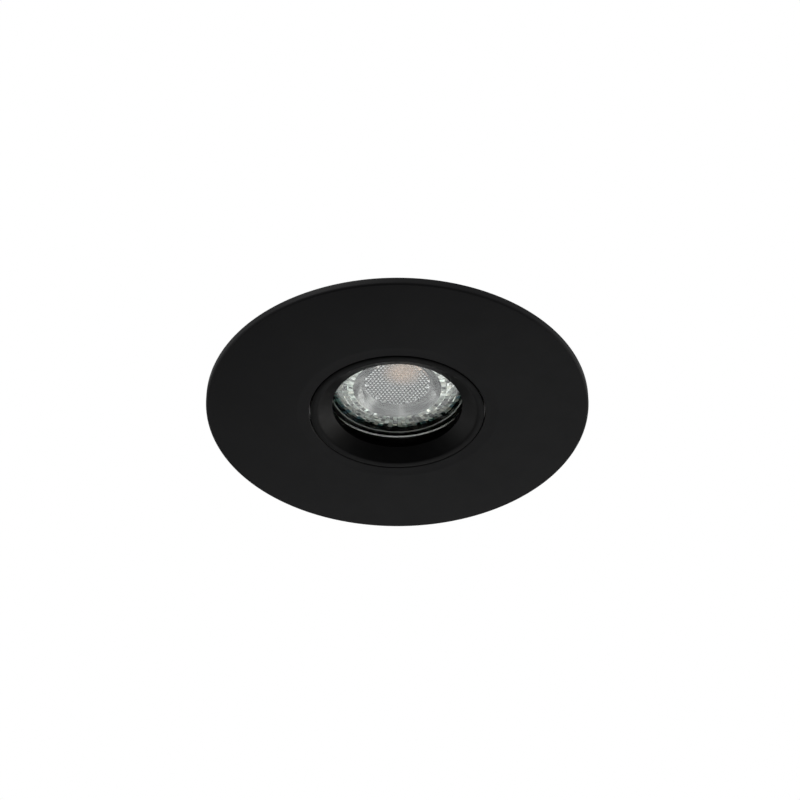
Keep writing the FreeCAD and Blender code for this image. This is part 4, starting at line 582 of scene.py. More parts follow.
def circle(mean: float, level: float, radius: float, sides: int = 16) -> Profile:
    """The points of a round wire's section."""
    turn = [FULL * i / sides for i in range(sides)]
    return [(mean + radius * math.cos(a), level + radius * math.sin(a)) for a in turn]


def arc(r: float, z: float, radius: float, first: float, last: float, steps: int = 4) -> Profile:
    """Points on an arc, its angles in degrees.

    Args:
        r: the centre's radius.
        z: the centre's height.
        radius: the arc's radius.
        first: where it starts.
        last: where it ends.
        steps: in how many steps.

    Returns:
        The points.
    """
    turn = [math.radians(first + (last - first) * i / steps) for i in range(steps + 1)]
    return [(r + radius * math.cos(a), z + radius * math.sin(a)) for a in turn]


def finished(
    bm: BMesh,
    name: str,
    finishes: list[Dressing],
    body: str | tuple,
    node: str,
    crease: float = CREASE,
) -> None:
    """Make a piece of a mesh, dress it and give it to its body, when it has a single one.

    Args:
        bm: the mesh, which is freed.
        name: the piece's name.
        finishes: its finishes, in the order of its faces' indices.
        body: the CAD body it rides on; given two bodies with a start and an end instead, the piece stays on no body.
        node: the CAD node that it stands for.
        crease: the turn between faces that stays sharp.
    """
    mesh = bpy.data.meshes.new(name)
    bm.to_mesh(mesh)
    bm.free()
    mesh.shade_smooth()
    mesh.set_sharp_from_angle(angle=crease)
    piece = bpy.data.objects.new(name, mesh)
    bpy.context.scene.collection.objects.link(piece)
    for finish in finishes:
        mesh.materials.append(finish.material())
    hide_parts(node)
    if isinstance(body, str):
        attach(piece, body)
    else:
        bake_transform(piece)
    log.info("%s stands for %s, %d faces", name, node, len(mesh.polygons))


def polished(node: str, body: str, finish: Dressing, width: float) -> None:
    """A CAD node's own shape with its edges softened.

    Args:
        node: the CAD node.
        body: the body it rides on.
        finish: its finish.
        width: the width of its rounds in millimetres.
    """
    bm = bmesh.new()
    bm.from_mesh(bpy.data.objects[node].data)
    bmesh.ops.remove_doubles(bm, verts=bm.verts, dist=2 * SEAM)
    bmesh.ops.dissolve_limit(bm, angle_limit=math.radians(0.8), verts=bm.verts, edges=bm.edges)
    soften(bm, width)
    finished(bm, node + "_piece", [finish], body, node)


def tube(points: list[Vector], radius: float, smooth: bool, sides: int) -> BMesh:
    """A round wire along points, with closed ends.

    Args:
        points: the points in millimetres.
        radius: the wire's radius in millimetres.
        smooth: whether the line only leans on the points, and not passes through them.
        sides: a quarter of the section's sides, less one.

    Returns:
        The mesh.
    """
    curve = bpy.data.curves.new("wire", "CURVE")
    curve.dimensions = "3D"
    curve.bevel_depth = radius * MM
    curve.bevel_resolution = sides
    curve.use_fill_caps = True
    curve.resolution_u = 10
    spline = curve.splines.new("NURBS" if smooth else "POLY")
    spline.points.add(len(points) - 1)
    for spot, point in zip(spline.points, points):
        spot.co = (*(point * MM), 1)
    if smooth:
        spline.order_u = 3
        spline.use_endpoint_u = True
    shape = bpy.data.objects.new("wire", curve)
    bpy.context.scene.collection.objects.link(shape)
    bpy.context.view_layer.update()
    mesh = bpy.data.meshes.new_from_object(shape.evaluated_get(bpy.context.evaluated_depsgraph_get()))
    bm = bmesh.new()
    bm.from_mesh(mesh)
    bpy.data.objects.remove(shape)
    bpy.data.curves.remove(curve)
    bpy.data.meshes.remove(mesh)
    closed_up(bm)
    return bm


# ---------------------------------------------------------------- the light's sub-assemblies


@dataclass
class Plate:
    """The face plate with its ribbed back, and the foam ring in its channel."""

    radius: float = 70.0
    face: float = -3.3
    band_face: float = -3.5
    floor: float = -1.9
    hub_top: float = -1.2
    rim_top: float = -0.3
    hole: float = 32.3
    band: float = 36.7
    band_step: float = 0.4
    wall: float = 1.6
    draft: float = 0.3
    fence: float = 57.0
    fence_wall: float = 1.2
    fence_top: float = -0.6
    hub: float = 36.9
    edge_round: float = 0.8
    rib_count: int = 12
    rib_width: float = 1.2
    rib_height: float = 0.9
    boss_circle: float = 42.0
    boss_radius: float = 4.0
    boss_top: float = 2.5
    bore: float = 1.52
    foam: tuple[float, float] = (57.5, 67.0)

    def profile(self) -> Profile:
        """The plate's section.

        Returns:
            The points, from the hole's front edge outwards and back.
        """
        inside = self.radius - self.wall
        corner = arc(self.radius - self.edge_round, self.face + self.edge_round, self.edge_round, 270, 360, 5)
        return [
            (self.hole, self.band_face + self.band_step),
            (self.hole + 0.25, self.band_face + self.band_step - 0.22),
            (self.band - 0.5, self.band_face + 0.06), (self.band, self.band_face),
            (self.band + 0.6, self.band_face + 0.015),
            *corner,
            (self.radius, self.rim_top - 0.15), (self.radius - 0.15, self.rim_top), (inside, self.rim_top),
            (inside - self.draft, self.floor), (self.fence, self.floor), (self.fence, self.fence_top),
            (self.fence - self.fence_wall, self.fence_top), (self.fence - self.fence_wall, self.floor),
            (self.hub, self.floor), (self.hub, self.hub_top), (self.hole, self.hub_top),
        ]

    def ribs(self, bm: BMesh) -> None:
        """Add the ribs to the plate's back.

        Args:
            bm: the mesh.
        """
        inner, outer = self.hub - 0.2, self.fence - self.fence_wall + 0.2
        size = (outer - inner, self.rib_width, self.rib_height * 1.1)
        middle = ((outer + inner) / 2, 0, self.floor + self.rib_height * 0.45)
        for index in range(self.rib_count):
            rolled(bm, 360 * index / self.rib_count, "Z", block(bm, size, middle))

    def bosses(self, bm: BMesh) -> None:
        """Add the three bosses that the flange screws go into.

        Args:
            bm: the mesh.
        """
        low, high = self.floor - 0.2, self.boss_top
        tube_wall = [(self.bore, low), (self.boss_radius + 0.15, low), (self.boss_radius, high), (self.bore, high)]
        for index in range(3):
            ring = bmesh.new()
            spun(ring, chain(ring, tube_wall, True), 40)
            bmesh.ops.recalc_face_normals(ring, faces=ring.faces)
            angle = math.radians(90 + 120 * index)
            merge(bm, ring, Vector((math.cos(angle), math.sin(angle), 0)) * self.boss_circle)

    def build(self) -> None:
        """Make the plate and its foam ring."""
        bm = turned(self.profile(), BROAD)
        soften(bm, 0.12, 2, 60.0)
        self.ribs(bm)
        self.bosses(bm)
        finished(bm, "face_plate", [BLACK_COAT], "housing", "trim_plate")
        inner, outer = self.foam
        low = self.floor
        bulge = [
            (inner, low), (outer, low), (outer + 0.12, low / 2), (outer - 0.2, -0.25), (outer - 0.6, 0.0),
            (inner + 0.6, 0.0), (inner + 0.2, -0.25), (inner - 0.12, low / 2),
        ]
        finished(turned(bulge, FINE), "foam_ring", [FOAM], "housing", "soffit_gasket")


@dataclass
class Bezel:
    """The twist-off ring with its lugs, seal, glass, glass gasket and wire."""

    front: float = -3.4
    rim: float = 31.9
    dish: float = 29.5
    rear: float = -1.4
    opening: float = 23.9
    land: float = 0.1
    throat: float = 25.0
    seat: float = 26.8
    ledge: float = 4.9
    skirt: float = 29.6
    top: float = 11.0
    relief: float = 28.4
    groove: float = 27.15
    glass_radius: float = 26.5
    glass_low: float = 5.7
    glass_high: float = 8.3
    wire: float = 0.4
    lug_level: float = 6.7
    lug_reach: float = 31.6
    lug_span: float = 22.0
    lug_rise: float = 2.2
    seal: float = 1.1

    def profile(self) -> Profile:
        """The ring's section.

        Returns:
            The points, from the rim's outer front edge round the back to the dish.
        """
        groove_top = self.glass_high + self.wire * 2 + 0.1
        lip = groove_top + 0.4
        return [
            (self.rim - 0.35, self.front), (self.rim - 0.1, self.front + 0.1),
            (self.rim, self.front + 0.35), (self.rim, self.rear), (self.skirt, self.rear),
            (self.skirt, self.top), (self.relief, self.top), (self.relief, lip), (self.seat, lip),
            (self.seat, groove_top), (self.groove, groove_top), (self.groove, self.glass_high),
            (self.seat, self.glass_high), (self.seat, self.ledge), (self.throat, self.ledge),
            (self.opening, self.land + 0.4), (self.opening, self.land),
            (self.opening + 0.18, self.land - 0.16), (self.dish - 0.85, self.front + 0.62),
            (self.dish - 0.3, self.front + 0.16), (self.dish + 0.12, self.front),
        ]

    def build(self) -> None:
        """Make the ring and all that it carries."""
        bm = turned(self.profile(), BROAD)
        soften(bm, 0.1, 2, 60.0)
        low, high = self.lug_level, self.lug_level + 2.0
        inner, outer = self.skirt - 0.5, self.lug_reach
        section = [(inner, low), (outer, low), (outer, high), (inner, high)]
        for index in range(3):
            swept(bm, section, 120 * index, self.lug_span, self.lug_rise, 12)
        bmesh.ops.recalc_face_normals(bm, faces=bm.faces)
        # the throat faces inside the dish take the painted shade, darker than the dish's own black
        marked(bm, lambda reach, level: reach < self.relief and level > self.land)
        finished(bm, "dish_ring", [BLACK_DISH, PAINTED_SHADE], "bezel", "bezel_ring")
        self.seals()
        self.glass()

    def seals(self) -> None:
        """Make the rubber seal behind the rim and the silicone ring under the glass."""
        mean, level = self.skirt + self.seal, self.rear + self.seal
        ring = circle(mean, level, self.seal, 20)
        finished(turned(ring, 160), "rim_seal", [BLACK_RUBBER], "bezel", "bezel_seal")
        low, high = self.ledge, self.glass_low
        inner, outer, cut = self.throat + 1.0, self.seat - 0.2, 0.1
        section = [
            (inner, low + cut), (inner + cut, low), (outer - cut, low), (outer, low + cut),
            (outer, high - cut), (outer - cut, high), (inner + cut, high), (inner, high - cut),
        ]
        finished(turned(section, FINE), "glass_seal", [SILICONE], "cover", "glass_gasket")

    def glass(self) -> None:
        """Make the clear disc and the wire that holds it."""
        low, high, edge, cut = self.glass_low, self.glass_high, self.glass_radius, 0.4
        section = [(0, low), (edge - cut, low), (edge, low + cut), (edge, high - cut), (edge - cut, high), (0, high)]
        bm = turned(section, FINE, False)
        # the glass's edge is painted near black as shade, in place of clear glass
        marked(bm, lambda reach, level: reach > edge - 0.1)
        finished(bm, "cover_glass", [CLEAR_GLASS, PAINTED_SHADE], "cover", "glass_cover")
        bm = bmesh.new()
        ring = circle(self.seat - 0.15, high + self.wire, self.wire, 12)
        swept(bm, ring, 0, 330, 0, 160)
        bmesh.ops.recalc_face_normals(bm, faces=bm.faces)
        finished(bm, "glass_wire", [STAINLESS], "bezel", "glass_clip")


@dataclass
class Lamp:
    """The lamp's facetted glass, its smooth funnel and its lens of small domes."""

    front: float = 11.3
    radius: float = 25.0
    rim_wall: float = 0.7
    rim_front: float = 9.3
    rim: float = 12.4
    nose: float = 16.3
    nose_level: float = 9.7
    disc: float = 12.1
    disc_level: float = 12.6
    back: float = 13.9
    neck: float = 13.5
    neck_level: float = 44.7
    bulge: float = 3.1
    glass: float = 1.4
    columns: int = 80
    rows: int = 4
    pitch: float = 1.42
    dome: float = 0.5
    skew: float = 3.0
    tilt: float = 0.22

    def bowl(self) -> Profile:
        """The glass's outer line from the rim to the neck, bulging outwards.

        Returns:
            The points.
        """
        points = []
        for index in range(13):
            share = index / 12
            level = self.rim + (self.neck_level - self.rim) * share
            swell = math.sin(math.pi * share) * self.bulge
            points.append((self.radius + (self.neck - self.radius) * share + swell, level))
        return points

    def shell(self) -> BMesh:
        """The glass without its facets.

        Returns:
            The mesh.
        """
        outside = self.bowl()
        inside = [(r - self.glass, z) for r, z in reversed(outside[1:])]
        edge = self.radius - self.rim_wall
        profile = [
            (self.nose, self.nose_level + 0.3), (edge, self.front + 0.25),
            (edge + 0.2, self.rim_front + 0.05), (self.radius - 0.05, self.rim_front),
            (self.radius, self.rim_front + 0.1),
            *outside,
            *inside[:-1],
            (self.radius - self.glass * 2, self.back), (self.nose, self.back),
        ]
        bm = turned(profile, 152)
        marked(bm, lambda reach, level: reach > self.radius - 0.04 and level < self.rim)
        return bm

    def facets(self, bm: BMesh) -> None:
        """Lay the rings of small cut facets on the glass's front.

        Args:
            bm: the mesh.
        """
        before = set(bm.faces)
        inner, outer = self.nose, self.radius - self.rim_wall - 0.05
        line = []
        for index in range(self.rows + 1):
            share = index / self.rows
            level = self.nose_level + (self.front - self.nose_level) * share**1.5
            line.append((inner + (outer - inner) * share, level + 0.2))
        spun(bm, chain(bm, line, False), self.columns)
        bmesh.ops.remove_doubles(bm, verts=bm.verts, dist=SEAM)
        settled(bm)
        cells = [f for f in bm.faces if f not in before]
        bmesh.ops.recalc_face_normals(bm, faces=cells)
        up = [f for f in cells if f.normal.z > 0]
        bmesh.ops.reverse_faces(bm, faces=up)
        chance = random.Random(7)
        bmesh.ops.inset_individual(bm, faces=cells, thickness=0.16 * MM, depth=0.14 * MM, use_even_offset=True)
        for face in cells:
            tilt = Matrix.Rotation(chance.uniform(-self.tilt, self.tilt), 3, "X")
            tilt = tilt @ Matrix.Rotation(chance.uniform(-self.tilt, self.tilt), 3, "Y")
            bmesh.ops.rotate(bm, verts=face.verts, cent=face.calc_center_median(), matrix=tilt)

    def paint_facet_reflections(self, bm: BMesh) -> None:
        """Give each facet a painted reflection, bright or dark at random, greener towards the rim.

        Args:
            bm: the mesh.
        """
        settled(bm)
        layer = bm.loops.layers.float_color.new(PAINTED_LIGHT_LAYER)
        chance = random.Random(11)
        for face in bm.faces:
            middle = face.calc_center_median() / MM
            reach = math.hypot(middle.x, middle.y)
            # painted reflection: each facet is made bright or dark at random, as if it caught a lamp or not
            level = chance.choice((0.08, 0.3, 0.6, 0.85, 1.0, 1.0, 1.0))
            tint = chance.choice(((1, 0.97, 0.88), (0.9, 0.97, 0.91), (1, 1, 0.98)))
            side = abs(middle.x) / max(reach, 1.0)
            # teal painted reflections near the rim, more often on its left and right sides
            if reach > self.radius - 2.4 and chance.random() < 0.25 + 0.6 * side:
                tint = chance.choice(((0.3, 0.62, 0.55), (0.4, 0.7, 0.66), (0.3, 0.5, 0.62)))
            shade = tuple(level * part for part in tint)
            # on the rim, the front edge gets a painted highlight and the other faces painted shade
            if reach > self.radius - self.rim_wall:
                shade = (1, 1, 1) if face.normal.z < -0.9 else (0.005, 0.005, 0.005)
            for loop in face.loops:
                loop[layer] = (*shade, 1)

    def domes(self, bm: BMesh) -> None:
        """Lay a honeycomb of small domes on the lens's disc.

        Args:
            bm: the mesh.
        """
        count = int(self.disc / self.pitch) + 2
        for row in range(-count, count + 1):
            for column in range(-count, count + 1):
                x = (column + 0.5 * (row % 2)) * self.pitch
                y = row * self.pitch * math.sqrt(3) / 2
                if math.hypot(x, y) > self.disc - self.pitch * 0.45:
                    continue
                place = Matrix.Translation((x * MM, y * MM, self.disc_level * MM))
                self.cell(bm, Matrix.Rotation(math.radians(self.skew), 4, "Z") @ place)

    def cell(self, bm: BMesh, spot: Matrix) -> None:
        """Add one six-sided dome, bulging to the front.

        Args:
            bm: the mesh that takes it.
            spot: its place on the disc.
        """
        across = self.pitch / math.sqrt(3) * MM
        base = bmesh.ops.create_circle(
            bm, cap_ends=True, segments=6, radius=across, matrix=spot @ Matrix.Rotation(math.pi / 6, 4, "Z")
        )["verts"]
        face = base[0].link_faces[0]
        for share, lift in ((0.68, 0.6), (0.38, 0.92)):
            face = bmesh.ops.extrude_discrete_faces(bm, faces=[face])["faces"][0]
            middle = face.calc_center_median()
            now = (face.verts[0].co - middle).length
            shrink = share * across / now
            bmesh.ops.scale(bm, vec=(shrink,) * 3, verts=face.verts, space=Matrix.Translation(-middle))
            level = (self.disc_level - self.dome * lift) * MM
            bmesh.ops.translate(bm, vec=(0, 0, level - middle.z), verts=face.verts)
        bmesh.ops.poke(bm, faces=[face], offset=self.dome * 0.1 * MM, use_relative_offset=False)

    def from_dome(self, x: float, y: float) -> float:
        """How far a point is from the nearest dome's middle, as a share of the pitch.

        Args:
            x: the point's x in millimetres.
            y: the point's y in millimetres.

        Returns:
            The share.
        """
        turn = math.radians(-self.skew)
        across = (x * math.cos(turn) - y * math.sin(turn)) / self.pitch
        along = (x * math.sin(turn) + y * math.cos(turn)) / self.pitch
        rise = math.sqrt(3) / 2
        near = []
        for row in (math.floor(along / rise), math.floor(along / rise) + 1):
            shift = 0.5 * (row % 2)
            near.append(math.hypot(across - round(across - shift) - shift, along - row * rise))
        return min(near)

    def painted_dome_light(self, x: float, y: float) -> Colour:
        """The painted light of the domes: painted highlights on their tops low down, and a warm ground with painted
        dark spots high up.

        Args:
            x: the point's x in millimetres.
            y: the point's y in millimetres.

        Returns:
            The painted light.
        """
        away = min(self.from_dome(x, y) / 0.5, 1.0)
        warm = max(0.0, 1.0 - math.hypot(x - 2.0, y + 6.5) / 8.5)
        blend = min(1.0, 1.6 * warm)
        # painted highlight on each dome's top, darker towards the gaps between domes as painted shade
        cool = max(0.03, 0.95 - 1.12 * away**1.3)
        # in the warm patch the domes' middles are painted darker than their edges
        hot = 0.2 + 0.6 * away
        ground = (0.98, 0.76, 0.62)
        return tuple(cool * (1 - blend) + hot * blend * part for part in ground)

    def painted_funnel_reflections(self, x: float, y: float) -> Colour:
        """The painted reflections of the smooth funnel round the disc: streaks and bright spots.

        Args:
            x: the point's x in millimetres.
            y: the point's y in millimetres.

        Returns:
            The painted reflection.
        """
        angle = math.degrees(math.atan2(y, x)) % 360
        reach = math.hypot(x, y)
        # painted reflection streaks across the funnel
        streak = 0.06 * math.sin(5.2 * reach + 0.03 * angle) + 0.05 * math.sin(2.1 * reach + 0.09 * angle)
        level = 0.13 + streak + 0.04 * math.sin(math.radians(5 * angle))
        # painted highlights: bright spots at three angles round the funnel
        for middle, width, gain in ((136, 9, 0.45), (84, 5, 0.2), (194, 12, 0.5)):
            level += gain * math.exp(-(((angle - middle) / width) ** 2))
        level = min(1.0, max(0.02, level))
        return (level, level, level * 0.98)

    def paint_front_light(self, bm: BMesh) -> None:
        """Paint the light and shade on the domes and the funnel.

        Args:
            bm: the mesh.
        """
        layer = bm.loops.layers.float_color.new(PAINTED_LIGHT_LAYER)
        for face in bm.faces:
            middle = face.calc_center_median() / MM
            if math.hypot(middle.x, middle.y) < self.disc + 0.1:
                shade = self.painted_dome_light(middle.x, middle.y)
                for loop in face.loops:
                    loop[layer] = (*shade, 1)
                continue
            for loop in face.loops:
                spot = loop.vert.co / MM
                loop[layer] = (*self.painted_funnel_reflections(spot.x, spot.y), 1)

    def front_profile(self) -> Profile:
        """The lens's section: a disc, the funnel out to the nose, and a flat back.

        Returns:
            The points.
        """
        start, end = self.disc + 0.15, self.nose - 0.1
        low, high = self.nose_level, self.disc_level - 0.15
        steps = 10
        funnel = []
        for index in range(steps + 1):
            share = index / steps
            sag = 0.35 * math.sin(math.pi * share)
            funnel.append((start + (end - start) * share, high + (low - high) * share + sag))
        return [(0, self.disc_level), (self.disc, self.disc_level), *funnel, (end, self.back), (0, self.back)]

    def build(self) -> None:
        """Make the glass and the lens."""
        bm = self.shell()
        self.facets(bm)
        self.paint_facet_reflections(bm)
        finished(bm, "lamp_glass", [MIRROR_GLASS, RIM_GLASS], "lamp", "lamp_shell", math.radians(14))
        lens = turned(self.front_profile(), 144, False)
        self.domes(lens)
        self.paint_front_light(lens)
        finished(lens, "lamp_front", [LENS], "lamp", "lamp_lens", math.radians(40))


@dataclass
class Can:
    """The drawn can with its flange gasket, screws and rivets."""

    low: float = 5.3
    high: float = 98.0
    outer: float = 37.5
    wall: float = 1.0
    flange: float = 50.0
    corner: float = 4.0
    bead: float = 70.0
    swell: float = 0.8
    gasket: tuple[float, float] = (35.5, 49.0)
    gasket_low: float = 4.5
    rivet_x: float = 43.85
    rivet_y: float = 5.5
    rivet_low: float = 7.5
    screw_ring: float = 42.0
    roof_screw: float = 29.8

    def profile(self) -> Profile:
        """The can's section, outside and then inside.

        Returns:
            The points.
        """
        outer, wall = self.outer, self.wall
        bead = arc(outer - 1.4, self.bead, 2.2, -50, 50, 8)
        return [
            (self.flange - 0.3, self.low), (self.flange, self.low + 0.3),
            (self.flange, self.low + wall - 0.3), (self.flange - 0.3, self.low + wall),
            *reversed(arc(outer + 1.0, self.low + wall + 1.0, 1.0, 180, 270, 5)),
            *bead,
            *arc(outer - self.corner, self.high - self.corner, self.corner, 0, 90, 8),
            (0, self.high), (0, self.high - wall),
            *reversed(arc(outer - self.corner, self.high - self.corner, self.corner - wall, 0, 90, 8)),
            *reversed([(r - wall, z) for r, z in bead]),
            (outer - wall, self.low + 0.3), (outer - wall + 0.3, self.low),
        ]

    def build(self) -> None:
        """Make the can, its gasket and its fasteners."""
        finished(turned(self.profile(), FINE), "can", [ZINC], "housing", "lamp_can")
        inner, outer = self.gasket
        low, high = self.gasket_low, self.low
        section = [(inner, low), (outer, low), (outer + 0.1, (low + high) / 2), (outer, high), (inner, high)]
        finished(turned(section, FINE), "flange_seal", [BLACK_RUBBER], "housing", "flange_gasket")
        self.rivets()
        seat = self.low + self.wall
        turns = [math.pi * part / 6 for part in (3, 7, 11)]
        ring = [(self.screw_ring * math.cos(a), self.screw_ring * math.sin(a)) for a in turns]
        screws(ring, seat, seat + 1.3, "flange_screw_set", "flange_screws")
        roof = [(self.roof_screw, 0), (-self.roof_screw, 0)]
        screws(roof, self.high, 5.4, "roof_screw_set", "roof_screws")

    def rivets(self) -> None:
        """Make the four domed rivets."""
        bm = bmesh.new()
        low, seat, top = self.low, self.rivet_low, self.rivet_low + 1.0
        head = [(0, low), (1.5, low), (1.5, seat), (2.6, seat), (2.45, seat + 0.4)]
        head += [(1.9, top - 0.2), (1.0, top - 0.03), (0, top)]
        for x in (self.rivet_x, -self.rivet_x):
            for y in (self.rivet_y, -self.rivet_y):
                merge(bm, turned(head, 32, False), (x, y, 0))
        finished(bm, "rivet_set", [STEEL], "housing", "bracket_rivets")


def pan_head(seat: float, length: float, turn: float) -> BMesh:
    """A pan-head screw with a slot and the ridges of its thread.

    Args:
        seat: the height of the underside of its head.
        length: how far its shank goes down.
        turn: how the slot is turned, in degrees.

    Returns:
        The mesh.
    """
    top = seat + 2.0
    section = [(0, top), (1.5, top), (2.2, top - 0.12), (2.62, top - 0.5), (2.8, top - 1.1), (2.8, seat), (1.5, seat)]
    level = seat
    while level > seat - length + 0.6:
        section += [(1.22, level - 0.25), (1.5, level - 0.5)]
        level -= 0.5
    section += [(1.1, seat - length), (0, seat - length)]
    bm = turned(section, 40, False)
    half = 0.4 * MM
    for side in (-half, half):
        whole = [*bm.verts, *bm.edges, *bm.faces]
        bmesh.ops.bisect_plane(bm, geom=whole, plane_co=(0, side, 0), plane_no=(0, 1, 0), dist=HAIR)
    middles = [(face, face.calc_center_median()) for face in bm.faces]
    near = [face for face, middle in middles if abs(middle.y) < half and middle.z > (seat + 1.2) * MM]
    sunk = bmesh.ops.extrude_face_region(bm, geom=near)["geom"]
    bmesh.ops.delete(bm, geom=near, context="FACES")
    floor = [v for v in sunk if isinstance(v, BMVert)]
    for vert in floor:
        vert.co.z = min(vert.co.z, (top - 1.0) * MM)
    closed_up(bm, HAIR)
    rolled(bm, turn, "Z")
    return bm


def screws(spots: list[tuple[float, float]], seat: float, length: float, name: str, node: str) -> None:
    """Make a set of screws as one piece.

    Args:
        spots: where they stand.
        seat: the height of the underside of their heads.
        length: their shanks' length.
        name: the piece's name.
        node: the CAD node that it stands for.
    """
    bm = bmesh.new()
    for index, (x, y) in enumerate(spots):
        merge(bm, pan_head(seat, length, 35 + 71 * index), (x, y, 0))
    finished(bm, name, [STEEL], "housing", node)


@dataclass
class Clip:
    """One spring clip: bracket, pin, arm, rubber boot and torsion spring."""

    side: int
    word: str
    pivot: float = 43.5
    level: float = 25.0
    lean: float = 35.0
    half_width: float = 10.0
    spring_radius: float = 3.6
    wire: float = 0.6
    turns: float = 4.0
    pitch: float = 1.7
    back_leg: float = 14.0
    front_leg: float = 16.0
    can_radius: float = 37.5
    arm_length: float = 28.0
    arm_drop: float = 4.25
    arm_width: float = 15.6
    pad_wall: float = 1.2
    pad_length: float = 9.0

    def body(self) -> str:
        """The CAD body of this clip's arm."""
        return "clip_" + self.word

    def placed(self, bm: BMesh) -> None:
        """Carry a mesh from the arm's own frame to the pivot."""
        rolled(bm, self.side * self.lean, "Y")
        moved(bm, (self.side * self.pivot, 0, self.level))

    def boot(self) -> None:
        """Make the rubber boot: a rounded sleeve with grip ribs across its underside."""
        bm = bmesh.new()
        end = self.arm_length + self.pad_wall
        start = self.arm_length - self.pad_length
        low = -self.arm_drop - 1.0 - self.pad_wall
        high = self.pad_wall - self.arm_drop
        wide = self.arm_width + self.pad_wall * 2
        block(bm, (end - start, wide, high - low), ((start + end) / 2, 0, (low + high) / 2))
        soften(bm, 0.9, 4)
        for index in range(5):
            rib = bmesh.new()
            block(rib, (0.7, wide - 2.4, 0.5))
            soften(rib, 0.2)
            merge(bm, rib, (start + 1.6 + index * 1.7, 0, low + 0.18))
        if self.side < 0:
            bmesh.ops.scale(bm, vec=(-1, 1, 1), verts=bm.verts)
            bmesh.ops.reverse_faces(bm, faces=bm.faces)
        self.placed(bm)
        finished(bm, "boot_" + self.word, [BLACK_RUBBER], self.body(), "arm_pad_" + self.word)

    def pin(self) -> None:
        """Make the pivot pin with its domed head and spread end."""
        half = self.half_width
        section = [
            (0, half + 1.4), (1.6, half + 1.35), (2.3, half + 1.1), (2.6, half + 0.6), (2.6, half),
            (1.5, half), (1.5, -half - 0.3), (2.0, -half - 0.3), (1.9, -half - 0.9), (0, -half - 1.1),
        ]
        bm = turned(section, 40, False)
        rolled(bm, 90, "X")
        moved(bm, (self.side * self.pivot, 0, self.level))
        finished(bm, "hinge_pin_" + self.word, [STEEL], "housing", "pivot_pin_" + self.word)

    def spring(self) -> None:
        """Make the torsion spring: a leg on the can, the coil and a leg on the arm."""
        radius, wire, back = self.spring_radius, self.wire, self.back_leg
        offset = self.pitch * self.turns / 2
        gap = self.pivot - math.sqrt(self.can_radius**2 - offset**2) - wire - 0.03
        lean = math.atan2(back, radius) - math.acos(gap / math.hypot(radius, back))
        first = math.pi + lean
        last = first + FULL * self.turns + math.radians(90 - self.lean) - lean
        rise = self.pitch / FULL
        middle = rise * (first + last) / 2
        steps = 110
        line = [self.coil(first + (last - first) * i / steps, rise)[0] for i in range(steps + 1)]
        point, way = self.coil(first, rise)
        legs = [point - way * back * share for share in (1.0, 0.6, 0.2)]
        other, onward = self.coil(last, rise)
        ends = [other + onward * self.front_leg * share for share in (0.2, 0.6, 1.0)]
        shift = Vector((self.side * self.pivot, -middle, self.level))
        bm = tube([p + shift for p in (*legs, *line, *ends)], wire, False, 3)
        low = Vector((self.side * self.pivot, rise * first - middle, self.level)) * MM
        high = Vector((self.side * self.pivot, rise * last - middle, self.level)) * MM
        span = ("housing", self.body(), low, high)
        finished(bm, "torsion_spring_" + self.word, [SPRING_STEEL], span, "clip_spring_" + self.word)

    def coil(self, angle: float, rise: float) -> tuple[Vector, Vector]:
        """A point on the coil and its direction there.

        Args:
            angle: the angle round the pivot.
            rise: how far the coil moves along the pivot in a radian.

        Returns:
            The point and the unit direction.
        """
        side, radius = self.side, self.spring_radius
        point = Vector((side * radius * math.cos(angle), rise * angle, radius * math.sin(angle)))
        way = Vector((-side * radius * math.sin(angle), rise, radius * math.cos(angle)))
        return point, way.normalized()

    def build(self) -> None:
        """Make all of the clip."""
        polished("clip_bracket_" + self.word, "housing", ZINC, 0.25)
        polished("spring_arm_" + self.word, self.body(), ZINC, 0.2)
        self.boot()
        self.pin()
        self.spring()


